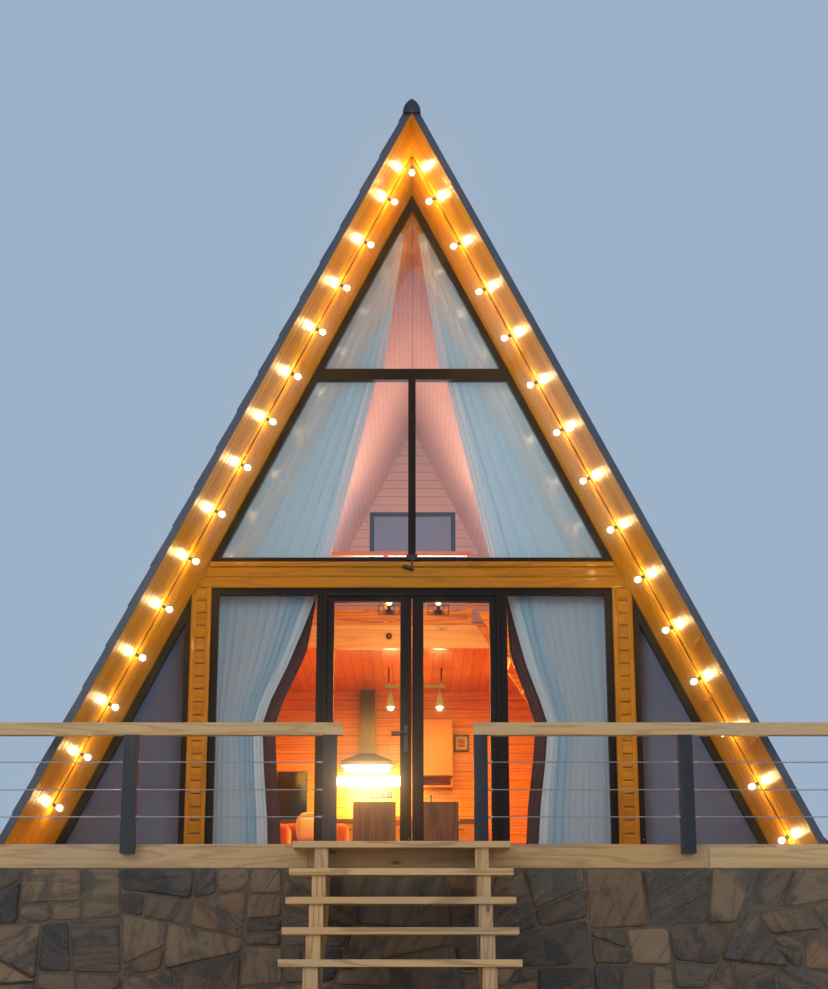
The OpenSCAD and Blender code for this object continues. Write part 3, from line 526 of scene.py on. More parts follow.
def tube_faces(rows, count, base=0):
    """The faces between rings of count points, one after the other from a first point on."""
    corners = [(base + j * count + k, base + j * count + (k + 1) % count) for j in range(rows
                                                                                         - 1) for k in range(count)]
    return [[a, b, b + count, a + count] for a, b in corners]


def turned(profile, centre, axis=UP, count=24):
    """A solid turned about an axis: profile is (radius, place along the axis) from one end to the other."""
    axis = Vector(axis).normalized()
    side = axis.orthogonal().normalized()
    other = axis.cross(side)
    vertices, faces = [], tube_faces(len(profile), count)
    for radius, along in profile:
        vertices += circle(Vector(centre) + axis * along, side, other, radius, count)
    for row in (0, len(profile) - 1):
        vertices.append(Vector(centre) + axis * profile[row][1])
        tip = len(vertices) - 1
        for k in range(count):
            n = (k + 1) % count
            a, b = row * count + k, row * count + n
            faces.append([tip, b, a] if row == 0 else [tip, a, b])
    return vertices, faces


def rod(path, radius, count=8):
    """A round bar along a list of points, closed at both ends."""
    path = [Vector(p) for p in path]
    vertices, faces = [], tube_faces(len(path), count)
    side = None
    for j, point in enumerate(path):
        ahead = (path[min(j + 1, len(path) - 1)] - path[max(j - 1, 0)]).normalized()
        side = ahead.orthogonal() if side is None else side - ahead * side.dot(ahead)
        side.normalize()
        vertices += circle(point, side, ahead.cross(side), radius, count)
    faces.append(list(range(count))[::-1])
    faces.append(list(range(len(vertices) - count, len(vertices))))
    return vertices, faces


def solids_of(node):
    """The lowest and highest corner of each solid of a node, from the frame's own mesh, from left to right."""
    build = bmesh.new()
    build.from_mesh(cad[node].data)
    bmesh.ops.remove_doubles(build, verts=build.verts, dist=1e-5)
    left, found = set(build.verts), []
    while left:
        stack, group = [left.pop()], []
        while stack:
            v = stack.pop()
            group.append(v.co.copy())
            for e in v.link_edges:
                o = e.other_vert(v)
                if o in left:
                    left.remove(o)
                    stack.append(o)
        found.append([Vector(pick(c[k] for c in group) for k in range(3)) for pick in (min, max)])
    build.free()
    return sorted(found, key=lambda pair: tuple(pair[0]))


def cushion(low, high, radius, crown, cells=10, pinch=0.0):
    """A stuffed form, flat below: rounded edges, crowned faces, and sides pinched in between the corners."""
    low, high = Vector(low), Vector(high)
    half, middle = (high - low) / 2, (high + low) / 2
    half = Vector((half.x - crown, half.y - crown, half.z - crown / 2))
    middle.z -= crown / 2
    build = bmesh.new()
    bmesh.ops.create_cube(build, size=2.0)
    bmesh.ops.subdivide_edges(build, edges=list(build.edges), cuts=cells, use_grid_fill=True)
    for v in build.verts:
        p = v.co.copy()
        place = Vector([p[k] * half[k] for k in range(3)])
        core = Vector([max(radius - half[k], min(half[k] - radius, place[k])) for k in range(3)])
        away = place - core
        if away.length > 1e-9:
            place = core + away.normalized() * radius
        fade = [1 - abs(c) ** 2.2 for c in p]
        for k in range(3):
            if k == 2 and p[2] < 0:
                continue
            swell = fade[(k + 1) % 3] * fade[(k + 2) % 3] * crown * abs(p[k]) ** 3
            place[k] += math.copysign(swell, p[k])
        for k in (0, 1):
            place[k] -= math.copysign(pinch * fade[1 - k] * abs(p[k]) ** 4, p[k])
        v.co = middle + place
    return shape_of(build)


def welt(low, high, height, radius):
    """A round piping along the sides of a cushion at one height."""
    (x0, y0), (x1, y1) = low, high
    turn = 0.03
    path = []
    for cx, cy, a in ((x1 - turn, y1 - turn, 0), (x0 + turn, y1 - turn, 90), (x0 + turn, y0 + turn, 180),
                      (x1 - turn, y0 + turn, 270), (x1 - turn, y1 - turn, 360)):
        for step in range(4 if a < 360 else 1):
            angle = math.radians(a + 30 * step)
            path.append((cx + turn * math.cos(angle), cy + turn * math.sin(angle), height))
    return rod(path, radius, 8)


# Geometry trees


KINDS = {int: "Int", float: "Float", tuple: "Vector", type(None): "Material"}
PLACE = {"Origin": (0, 0, 0), "Turn": (0, 0, 0), "Material": None}


def geometry_tree(name, inputs):
    """A tree with these inputs and those of PLACE, given by their defaults; its inputs by name and its end."""
    tree = bpy.data.node_groups.new(name, "GeometryNodeTree")
    for title, value in (inputs | PLACE).items():
        socket = tree.interface.new_socket(title, in_out="INPUT", socket_type="NodeSocket" + KINDS[type(value)])
        if value is not None:
            socket.default_value = value
    tree.interface.new_socket("Geometry", in_out="OUTPUT", socket_type="NodeSocketGeometry")
    given = Value(tree.nodes.new("NodeGroupInput"))
    return tree, given, tree.nodes.new("NodeGroupOutput").inputs[0]


def end_tree(tree, given, geometry, result):
    """Moves the pieces to their place, makes them real and gives them their material."""
    placed = add("GeometryNodeTransform", {"Geometry": geometry, "Translation": given["Origin"],
                                           "Rotation": given["Turn"]})
    real = add("GeometryNodeRealizeInstances", {0: placed})
    solid = add("GeometryNodeSetMaterial", {"Geometry": real, "Material": given["Material"]})
    tree.links.new(solid.socket, result)
    return tree


def place_of(tree):
    """The parts of the position: x, y and z."""
    return add("ShaderNodeSeparateXYZ", {0: add("GeometryNodeInputPosition", tree=tree)})


def board_row_tree():
    """Boards side by side: x runs along them, y across, and z from the face into the wall."""
    tree, given, result = geometry_tree("Row of boards", {
        "Boards": 10, "Pitch": 0.12, "Width": 0.118, "Thickness": 0.014,
        "Length": 2.0, "Crown": 0.001, "Rounding": 0.003,
        "Foot cut": 0.0, "Head cut": 0.0, "Unevenness": 0.0005,
        "Fall": 0.0, "Peak": 0.0,
        "Seed": 4})
    block = add("GeometryNodeMeshCube", {"Size": (1, 1, 1), "Vertices X": 2, "Vertices Y": 9, "Vertices Z": 2},
                tree=tree)
    x, y, z = place_of(tree)
    across = sine(y * math.pi)
    crown = abs(across) ** 2.0 * given["Crown"]
    edge = abs(across) ** 14.0 * given["Rounding"]
    back = is_more(z, 0.0)
    face = crown + edge
    depth = times_plus(given["Thickness"] - face, back, face)
    foot = depth * given["Foot cut"] * -1.0
    head = times_plus(depth, given["Head cut"], given["Length"])
    place = times_plus(head - foot, x + 0.5, foot)
    width = across * given["Width"] * 0.5
    shaped = add("GeometryNodeSetPosition", {"Geometry": block, "Position": vector_of(place, width, depth)})
    row = add("GeometryNodeMeshLine", {"Count": given["Boards"], "Offset": vector_of(0.0, given["Pitch"], 0.0)},
              mode="OFFSET")
    lift = add("FunctionNodeRandomValue", {2: 0.0, 3: given["Unevenness"], "Seed": given["Seed"]}, data_type="FLOAT")
    uneven = add("GeometryNodeSetPosition", {"Geometry": row, "Offset": vector_of(0.0, 0.0, lift[1])})
    laid = add("GeometryNodeInstanceOnPoints", {"Points": uneven, "Instance": shaped})
    real = add("GeometryNodeRealizeInstances", {0: laid})
    x, y, z = place_of(tree)
    away = abs(y - given["Peak"])
    left = 1.0 - away * given["Fall"] / given["Length"]
    sloped = add("GeometryNodeSetPosition", {"Geometry": real, "Position": vector_of(x * left, y, z)})
    return end_tree(tree, given, sloped, result)


def roof_course_tree():
    """Courses of pressed metal tiles: x runs up the slope, y along the ridge, and z out of the roof."""
    tree, given, result = geometry_tree("Courses of metal tiles", {
        "Courses": 19, "Course": 0.35, "First course": 0.0, "Length": 8.47,
        "Across": 255, "Wave": 0.2, "Wave height": 0.012, "Tilt": 0.010,
        "Nose": 0.014, "Base": 0.052, "Top end": 6.6})
    strip = add("GeometryNodeMeshGrid", {"Size X": 1.0, "Size Y": 1.0, "Vertices X": 4,
                                         "Vertices Y": given["Across"]})
    x, y, _ = place_of(tree)
    t = x + 0.5
    up = greatest(times_plus(t, 1.5, -0.5), 0.0)
    nose = is_less(t, 0.1)
    column = (y + 0.5) * (given["Across"] - 1.0)
    inner = calc("DIVIDE", column - 1.0, given["Across"] - 3.0, clamp=True)
    place = inner * given["Length"]
    first_edge = is_less(column, 0.5)
    last_edge = is_more(column, given["Across"] - 1.5)
    turn = place / given["Wave"] * (2 * math.pi)
    wave = times_plus(cosine(turn), 0.5, 0.5) ** 1.4
    rise = wave * given["Wave height"]
    fall = up * given["Tilt"]
    drop = greatest(nose, greatest(first_edge, last_edge)) * given["Nose"]
    height = rise - fall - drop
    along = up * (given["Course"] + 0.012)
    shaped = add("GeometryNodeSetPosition", {"Geometry": strip, "Position": vector_of(along, place, height)})
    start_at = vector_of(given["First course"], 0.0, given["Base"])
    rows = add("GeometryNodeMeshLine", {"Count": given["Courses"], "Start Location": start_at,
                                        "Offset": vector_of(given["Course"], 0.0, 0.0)}, mode="OFFSET")
    laid = add("GeometryNodeInstanceOnPoints", {"Points": rows, "Instance": shaped})
    real = add("GeometryNodeRealizeInstances", {0: laid})
    x, y, z = place_of(tree)
    cut = vector_of(least(x, given["Top end"]), y, z)
    trimmed = add("GeometryNodeSetPosition", {"Geometry": real, "Position": cut})
    return end_tree(tree, given, trimmed, result)


def head_row_tree():
    """Round fixing heads in columns along x and rows along y, standing up along z."""
    tree, given, result = geometry_tree("Fixing heads in rows", {
        "Columns": 4, "Rows": 2, "Column pitch": 0.3, "Row pitch": 0.1,
        "Radius": 0.004, "Height": 0.0015, "Jitter": 0.004, "Seed": 7})
    width = given["Column pitch"] * (given["Columns"] - 1.0)
    depth = given["Row pitch"] * (given["Rows"] - 1.0)
    field = add("GeometryNodeMeshGrid", {"Size X": width, "Size Y": depth, "Vertices X": given["Columns"],
                                         "Vertices Y": given["Rows"]})
    corner = vector_of(width * 0.5, depth * 0.5)
    reach = vector_of(given["Jitter"], given["Jitter"])
    stray = add("FunctionNodeRandomValue", {0: (0, 0, 0), 1: reach, "Seed": given["Seed"]}, data_type="FLOAT_VECTOR")
    offset = add("ShaderNodeVectorMath", {0: corner, 1: stray}, operation="ADD")
    spread = add("GeometryNodeSetPosition", {"Geometry": field, "Offset": offset})
    head = add("GeometryNodeMeshCone", {"Vertices": 10, "Radius Bottom": given["Radius"],
                                        "Radius Top": given["Radius"] * 0.75, "Depth": given["Height"]})
    laid = add("GeometryNodeInstanceOnPoints", {"Points": spread, "Instance": head})
    return end_tree(tree, given, laid, result)


def grown(name, tree, values, material):
    """The plain mesh that a geometry tree makes from these values."""
    carrier = in_scene(name, bpy.data.meshes.new(name))
    modifier = carrier.modifiers.new("Build", "NODES")
    modifier.node_group = tree
    sockets = {item.name: item.identifier for item in tree.interface.items_tree if item.in_out == "INPUT"}
    for title, value in dict(values, Material=material).items():
        modifier[sockets[title]] = value
    depsgraph = bpy.context.evaluated_depsgraph_get()
    mesh = bpy.data.meshes.new_from_object(carrier.evaluated_get(depsgraph), depsgraph=depsgraph)
    carrier.modifiers.remove(modifier)
    old = carrier.data
    carrier.data = mesh
    bpy.data.meshes.remove(old)
    if not mesh.polygons:
        raise RuntimeError(name + " came out empty")
    return carrier


def lean_turn(side):
    """The turn that lays x up one slope, with z out of the roof."""
    return (0.0, LEAN - math.pi / 2, 0.0 if side < 0 else math.pi)


# Stone


def cut_shape(shape, point, normal):
    """The part of a convex outline on the side that the normal points away from."""
    kept = []
    for i, a in enumerate(shape):
        b = shape[(i + 1) % len(shape)]
        da = (a[0] - point[0]) * normal[0] + (a[1] - point[1]) * normal[1]
        db = (b[0] - point[0]) * normal[0] + (b[1] - point[1]) * normal[1]
        if da <= 0:
            kept.append(a)
        if (da < 0 < db) or (db < 0 < da):
            t = da / (da - db)
            kept.append((a[0] + t * (b[0] - a[0]), a[1] + t * (b[1] - a[1])))
    return kept


def shape_area(shape):
    return 0.5 * sum(a[0] * b[1] - a[1] * b[0] for a, b in zip(shape, shape[1:] + shape[:1]))


def shape_middle(shape):
    return (sum(p[0] for p in shape) / len(shape), sum(p[1] for p in shape) / len(shape))


def split_stones(width, height, mean, rng):
    """Cuts a wall's face into the outlines of stones laid at random, most of them wider than high."""
    todo, stones = [[(0.0, 0.0), (width, 0.0), (width, height), (0.0, height)]], []
    while todo:
        shape = todo.pop()
        xs, zs = [p[0] for p in shape], [p[1] for p in shape]
        wide, high = max(xs) - min(xs), max(zs) - min(zs)
        slim = max(wide, high) > 3.2 * min(wide, high)
        if shape_area(shape) < mean * rng.choice((0.3, 0.7, 1.1, 1.6, 2.8)) and not slim:
            stones.append(shape)
            continue
        lean = rng.gauss(0.0, 0.11) if rng.random() < 0.84 else rng.choice((-1, 1)) * rng.uniform(0.3, 0.65)
        upright = wide > 1.5 * high
        angle = (math.pi / 2 if upright else 0.0) + lean
        middle = shape_middle(shape)
        slide = rng.uniform(-0.17, 0.17)
        point = (middle[0] + slide * wide * upright, middle[1] + slide * high * (not upright))
        normal = (-math.sin(angle), math.cos(angle))
        halves = [cut_shape(shape, point, normal), cut_shape(shape, point, (-normal[0], -normal[1]))]
        if min(len(h) for h in halves) < 3 or min(shape_area(h) for h in halves) < 0.004:
            stones.append(shape)
            continue
        todo.extend(halves)
    return stones


def stone_outline(shape, joint, rng):
    """The stone inside its joint: corners knocked off and edges a little crooked."""
    inner = shape
    for a, b in zip(shape, shape[1:] + shape[:1]):
        run = math.hypot(b[0] - a[0], b[1] - a[1])
        if run < 1e-6:
            continue
        normal = ((b[1] - a[1]) / run, -(b[0] - a[0]) / run)
        inner = cut_shape(inner, (a[0] - normal[0] * joint, a[1] - normal[1] * joint), normal)
        if len(inner) < 3:
            return []
    points = []
    for i, p in enumerate(inner):
        before, after = inner[i - 1], inner[(i + 1) % len(inner)]
        runs = [math.hypot(q[0] - p[0], q[1] - p[1]) for q in (before, after)]
        if min(runs) < 0.012:
            points.append(p)
            continue
        off = [min(rng.uniform(0.014, 0.048), 0.36 * run) / run for run in runs]
        first = tuple(p[k] + (before[k] - p[k]) * off[0] for k in (0, 1))
        last = tuple(p[k] + (after[k] - p[k]) * off[1] for k in (0, 1))
        points += [first, tuple(0.5 * p[k] + 0.25 * (first[k] + last[k]) for k in (0, 1)), last]
        gap = (1 - off[1]) * runs[1] - 0.02
        for step in range(1, int(gap / 0.085) + 1):
            t = step / (int(gap / 0.085) + 1)
            points.append(tuple(last[k] + (after[k] - last[k]) * t * 0.93 for k in (0, 1)))
    return points


def stone_facing(name, width, height, place, mean, joint, proud, seed, flip):
    """The stones of one wall face. place turns (along, up, out) into a point."""
    rng = random.Random(seed)
    vertices, faces, tones = [], [], []
    for shape in split_stones(width, height, mean, rng):
        ring = stone_outline(shape, joint * rng.uniform(0.75, 1.3) / 2, rng)
        if len(ring) < 5 or abs(shape_area(ring)) < 0.0015:
            continue
        middle = shape_middle(ring)
        tone = (rng.random(), rng.random(), rng.random(), 1.0)
        out = proud * rng.uniform(0.65, 1.25)
        tilt = (rng.gauss(0, 0.010), rng.gauss(0, 0.014))
        base = len(vertices)
        count = len(ring)
        levels = ((0.0, -0.3, 0.0), (0.003, 0.55, 0.5), (0.009, 0.92, 0.8), (0.028, 1.05, 1.0), (0.06, 1.1, 1.0))
        for inset, rise, rough in levels:
            for x, z in ring:
                reach = math.hypot(middle[0] - x, middle[1] - z)
                share = min(inset / reach, 0.6) if reach > 1e-6 else 0.0
                px, pz = x + (middle[0] - x) * share, z + (middle[1] - z) * share
                wobble = noise.noise(Vector((px * 17, pz * 17, seed * 3.1)))
                chip = noise.noise(Vector((px * 43, pz * 43, seed * 1.7)))
                px, pz = px + 0.006 * wobble * rough, pz + 0.006 * chip * rough
                lean = (px - middle[0]) * tilt[0] * 4 + (pz - middle[1]) * tilt[1] * 4
                depth = out * rise + rough * (0.0035 * wobble + 0.002 * chip + lean) if rise > 0 else -0.004
                vertices.append(place(px, pz, max(depth, 0.002) if rise > 0 else depth))
                tones.append(tone)
        vertices.append(place(middle[0], middle[1], out * 1.12))
        tones.append(tone)
        tip = len(vertices) - 1
        faces.extend(tube_faces(len(levels), count, base))
        top = base + (len(levels) - 1) * count
        faces.extend([top + k, top + (k + 1) % count, tip] for k in range(count))
    if flip:
        faces = [face[::-1] for face in faces]
    item = new_piece(name, vertices, faces)
    mark = item.data.color_attributes.new("tone", "FLOAT_COLOR", "POINT")
    mark.data.foreach_set("color", [c for tone in tones for c in tone])
    return item


# Cloth


def hanging_cloth(name, top, foot, edge_in, edge_out, middle_y, swing, folds, columns, rows, seed, band=0.0, calm=1.0,
                  forward=0.0):
    """A curtain: edge_in and edge_out give its sides at a height, swing the depth of its folds at a height.

    band is the width of the doubled edge, calm the share of the folds' depth that is left at the outer side, and
    forward how far the outer side stands in front of the rest."""
    rng = random.Random(seed)
    phases = [rng.uniform(0, 6.28) for _ in range(4)]
    vertices, faces, bands = [], [], []
    for j in range(rows + 1):
        t = j / rows
        h = top + (foot - top) * t
        a, b = edge_in(h), edge_out(h)
        for i in range(columns + 1):
            c = i / columns
            pace = c ** 0.8 + 0.012 * math.sin(9 * c + phases[0]) + 0.006 * math.sin(23 * c + phases[1])
            turn = 2 * math.pi * folds * pace + 0.5 * math.sin(2.2 * t + phases[2])
            wave = math.sin(turn) + 0.22 * math.sin(3 * turn + 0.6) * t
            slow = 0.35 * math.sin(0.37 * turn + phases[3] + 1.5 * t)
            depth = swing(h) * (0.78 * wave + slow) / 1.25 * (calm + (1 - calm) * math.exp(-((c / 0.34) ** 2)))
            from_side = abs(b - a) * (1 - c)
            depth -= forward * max(0.0, min(1.0, (0.205 - from_side) / 0.075))
            drift = 0.010 * math.sin(turn + 1.2) * min(1.0, 3 * min(c, 1 - c))
            vertices.append((a + (b - a) * c + drift, middle_y + depth, FLOOR_Z + h))
            reach = abs(b - a) * c
            bands.append(max(0.0, min(1.0, (band - reach) / 0.012)))
    wide = columns + 1
    for j in range(rows):
        for i in range(columns):
            k = j * wide + i
            faces.append([k, k + 1, k + wide + 1, k + wide])
    item = new_piece(name, vertices, faces)
    mark = item.data.color_attributes.new("edge", "FLOAT_COLOR", "POINT")
    mark.data.foreach_set("color", [value for band in bands for value in (band, band, band, 1.0)])
    return item


def piecewise(points):
    """A smooth line through (height, value) points in rising order of height."""
    def value(h):
        if h <= points[0][0]:
            return points[0][1]
        for (h0, v0), (h1, v1) in zip(points, points[1:]):
            if h <= h1:
                return v0 + (v1 - v0) * (h - h0) / (h1 - h0)
        return points[-1][1]
    return value


def cloth_area(item):
    return sum(face.area for face in item.data.polygons)


# Finishes


def settings():
    return bpy.context.scene.cabin


def make_finishes():
    """Every material of the cabin, by its own name."""
    colours = settings().finish
    gold = [colours.varnish_dark, colours.varnish, colours.varnish_pale]
    raw = [colours.pine_dark, colours.pine, colours.pine_pale]
    room = [(0.34, 0.090, 0.002), (0.66, 0.225, 0.006), (0.84, 0.37, 0.018)]
    # painted shade: the facade beam and posts take the soffit's varnish colours darkened to 0.6, for the weaker light
    # they get than the soffit
    facade = [tuple(c * f for c, f in zip(colour, (0.62, 0.60, 0.60))) for colour in gold]
    dark = [(0.018, 0.009, 0.005), (0.045, 0.024, 0.013), (0.085, 0.050, 0.030)]
    made = {}
    varnish = {"rough": 0.42, "coat": 0.13, "coat_rough": 0.10, "knots": 0.36, "tone": 0.30, "relief": 0.0004,
               "specular": 0.22, "figure": 0.34}
    wash = (WASH_Z, (0.72, 0.55, 0.47), WASH_SHARE)
    for side, name in SIDES:
        made["soffit_" + name] = wood("varnished_boards_" + name, up_slope(side), INWARD, settings().boards.pitch,
                                      gold, start=FRONT_Y, joint=0.006, joint_dark=0.8, **varnish)
        made["lining_" + name] = wood("room_lining_" + name, INWARD, up_slope(side), 0.1, room, length=3.1,
                                      rough=0.42, coat=0.2, figure=0.34, wash=wash)
        made["panel_" + name] = wood("roof_deck_" + name, INWARD, up_slope(side), 0.15, raw, length=2.4, rough=0.65)
    # the facade beam and posts below use the darkened varnish, painted shade
    made["varnished_level"] = wood("varnished_boards_level", SIDEWAYS, UP, 0.5, facade, start=-0.2, joint=0.0,
                                   **varnish)
    made["varnished_upright"] = wood("varnished_trim_upright", UP, SIDEWAYS, 0.31, facade, joint=0.0, **varnish)
    made["room_wood"] = wood("room_joinery", SIDEWAYS, UP, 0.27, room, rough=0.38, coat=0.3, joint=0.0)
    made["floor"] = wood("floor_boards", INWARD, SIDEWAYS, 0.12, room, length=2.2, rough=0.35, coat=0.4, joint=0.003)
    pale = [(0.62, 0.30, 0.10), (0.82, 0.50, 0.20), (0.88, 0.60, 0.28)]
    made["beam_board"] = wood("loft_beam_board", SIDEWAYS, UP, 0.5, pale, start=3.4, joint=0.0, rough=0.4, coat=0.2,
                              figure=0.3)
    made["ceiling"] = wood("loft_boards", INWARD, SIDEWAYS, 0.11, room, rough=0.36, coat=0.3, joint=0.007,
                           joint_dark=0.8, figure=0.2)
    made["raw_level"] = wood("raw_pine_level", SIDEWAYS, UP, 0.9, raw, start=0.4, joint=0.0, rough=0.62, knots=0.6,
                             grey=0.15, relief=0.0012, tone=0.2, figure=0.3)
    made["fascia"] = wood("raw_pine_fascia", SIDEWAYS, UP, 0.9, raw, start=0.4, joint=0.0, length=2.9, rough=0.64,
                          knots=0.65, grey=0.2, relief=0.0012, tone=0.3, figure=0.28)
    made["raw_stringer"] = wood("raw_pine_stringer", UP, SIDEWAYS, 0.6, raw, start=-0.37, joint=0.0, rough=0.64,
                                knots=0.6, grey=0.35, relief=0.0012)
    made["tread"] = wood("raw_pine_treads", SIDEWAYS, INWARD, 0.3, raw, start=-3.545, joint=0.0, rough=0.66,
                         knots=0.6, grey=0.25, relief=0.0014, tone=0.25)
    made["deck"] = wood("deck_boards_weathered", SIDEWAYS, INWARD, DECK_PITCH, raw, start=-1.75, joint=0.0,
                        length=3.55, rough=0.7, grey=0.6, relief=0.0015, tone=0.45)
    made["dark_wood"] = wood("dark_stained_wood", UP, SIDEWAYS, 0.4, dark, rough=0.4, coat=0.2, joint=0.0)
    made["frame"] = painted("frame_paint", colours.frame, 0.42, worn=(0.05, 0.047, 0.045), share=0.15, relief=0.00025,
                            Specular_IOR_Level=0.2)
    made["steel_dark"] = painted("dark_post_steel", (0.012, 0.013, 0.016), 0.42, worn=(0.07, 0.065, 0.06), share=0.3)
    made["verge"] = painted("verge_metal", colours.verge, 0.46, worn=(0.10, 0.12, 0.15), share=0.35, relief=0.0005,
                            Coat_Weight=0.15, Coat_Roughness=0.3)
    made["cap"] = painted("ridge_metal", colours.cap, 0.40, worn=(0.06, 0.07, 0.10), share=0.3)
    made["roof"] = painted("roof_metal", colours.roof, 0.44, worn=(0.075, 0.08, 0.085), share=0.45,
                           relief=0.0005, Coat_Weight=0.2, Coat_Roughness=0.35)
    made["cable"] = painted("cable_steel", (0.42, 0.43, 0.44), 0.34, 1.0, (0.20, 0.17, 0.14), 0.3, 700.0)
    made["handle"] = painted("brushed_dark_steel", (0.11, 0.105, 0.10), 0.28, 0.9, (0.05, 0.045, 0.04), 0.3, 900.0)
    made["plastic"] = painted("black_plastic", (0.010, 0.010, 0.011), 0.45, worn=(0.05, 0.048, 0.045), share=0.2,
                              grain=900.0)
    made["rubber"] = painted("black_rubber", (0.012, 0.011, 0.011), 0.62, worn=(0.05, 0.045, 0.04), share=0.35,
                             grain=1500.0)
    made["hood"] = painted("hood_steel", (0.085, 0.080, 0.078), 0.34, 0.8, (0.16, 0.12, 0.09), 0.25, 600.0)
    made["white"] = painted("white_track", (0.72, 0.71, 0.68), 0.4, worn=(0.5, 0.47, 0.42), share=0.3)
    made["kitchen"] = kitchen_finish()
    made["lamps"] = lamp_finish()
    made["pane"] = pane("window_glass", mirror=0.25)
    made["upper_pane"] = pane("upper_window_glass", mirror=2.3)
    made["bulb"] = glowing("lit_bulb_glass", settings().light.bulb_colour, settings().light.bulb_glow)
    made["mortar"] = mortar("mortar")
    made["stone"] = fieldstone("split_fieldstone")
    made["gable"] = gable_finish(gold, room)
    weathered = [(0.40, 0.17, 0.018), (0.58, 0.29, 0.038), (0.68, 0.38, 0.070)]
    made["gable_boards"] = wood("gable_boards_outside", UP, SIDEWAYS, GABLE_BOARD, weathered, joint=0.0, rough=0.5,
                                coat=0.12, knots=0.5, figure=0.3, tone=0.45, grey=0.25)
    # the voile colours are partly the pale cloth and partly painted sky light and sky reflection; the upper voile is
    # bluer, with more painted sky
    voile, edge = settings().cloth.voile, settings().cloth.edge
    made["voile"] = cloth("voile", voile, 1500.0, 0.12, edge_colour=edge)
    made["upper_voile"] = cloth("upper_voile", settings().cloth.upper, 1500.0, 0.08, edge_colour=edge)
    made["blind"] = cloth("window_blind", settings().cloth.blind, 1100.0, 0.06)
    made["drape"] = cloth("dark_drape", settings().cloth.drape, 1100.0, 0.25)
    made["chair_cloth"] = cloth("armchair_cloth", (0.44, 0.090, 0.006), 900.0, 0.0, 0.4)
    made["pillow"] = cloth("pillow_linen", (0.66, 0.56, 0.44), 800.0, 0.0, 0.4)
    made["worktop_lamp"] = glowing("worktop_lamp_glass", (1.0, 0.92, 0.74), 7.0)
    made["loft_lamp"] = glowing("loft_lamp_glass", (1.0, 0.66, 0.30), 14.0)
    made["screen"] = painted("dark_screen_glass", (0.008, 0.008, 0.009), 0.16, worn=(0.03, 0.028, 0.025), share=0.2)
    made["cabinet"] = painted("cabinet_front", (0.62, 0.36, 0.15), 0.42, worn=(0.50, 0.27, 0.10), share=0.4)
    made["print"] = generic_print()
    return made


def kitchen_finish():
    """Painted fronts with a fine edge shadow, under a dark worktop."""
    material, position = start("kitchen_fronts")
    x, z = along_axis(position, SIDEWAYS), along_axis(position, UP)
    door = fraction((x + 1.5) / 0.57)
    seam = span(abs(door - 0.5), 0.492, 0.498)
    top = span(z, FLOOR_Z + 0.815, FLOOR_Z + 0.825)
    above = span(z, FLOOR_Z + 1.2, FLOOR_Z + 1.25)
    cloud = speckle(position, 7.0, 4.0)
    fleck = speckle(position, 160.0, 3.0)
    front = tint(cloud, (0.3, 0.15, 0.06), (0.38, 0.2, 0.09))
    stone = tint(fleck, (0.02, 0.018, 0.017), (0.09, 0.08, 0.075))
    colour = tint(top, front, stone)
    colour = tint(above, colour, tint(cloud, (0.36, 0.19, 0.09), (0.44, 0.25, 0.13)))
    colour = tint(seam, colour, (0.02, 0.012, 0.008))
    bump = relief(fleck - seam * 4.0, 0.0004, 0.5)
    gloss = times_plus(fleck, 0.12, 0.26)
    return covered(material, principled(Base_Color=colour, Roughness=gloss, Normal=bump))


def generic_print():
    """A small plain print: soft bands of ochre and brown on cream paper."""
    material, position = start("plain_print")
    z = along_axis(position, UP)
    drift = speckle(position, 14.0, 3.0)
    band = fraction(times_plus(z, 21.0, drift * 0.9))
    colour = ramp(band, [(0.0, (0.62, 0.5, 0.34)), (0.35, (0.45, 0.22, 0.07)), (0.6, (0.58, 0.42, 0.22)),
                         (0.85, (0.24, 0.12, 0.05))])
    fibre = speckle(position, 600.0, 2.0)
    return covered(material, principled(Base_Color=colour, Roughness=0.7, Normal=relief(fibre, 0.0001, 0.4)))


def lamp_finish():
    """Black lamp shades and rail, with lit glass where the bulbs are."""
    material, position = start("lamp_shades_and_bulbs")
    low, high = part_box("ceiling_lamps")
    middle_y, bulb_z = (low[1] + high[1]) / 2, low[2] + 0.032
    glow = None
    for x in (low[0] + 0.06, high[0] - 0.06):
        away = add("ShaderNodeVectorMath", {0: position, 1: (x, middle_y, bulb_z)}, operation="DISTANCE")
        near = is_less(away["Value"], 0.0335)
        glow = near if glow is None else greatest(glow, near)
    fleck = speckle(position, 500.0, 2.0)
    colour = tint(fleck, (0.008, 0.008, 0.009), (0.02, 0.019, 0.018))
    shader = principled(Base_Color=tint(glow, colour, (0.9, 0.75, 0.5)), Roughness=times_plus(fleck, 0.15, 0.32),
                        Normal=relief(fleck, 0.0002, 0.4), Emission_Color=(1.0, 0.62, 0.26),
                        Emission_Strength=glow * 60.0)
    return covered(material, shader)


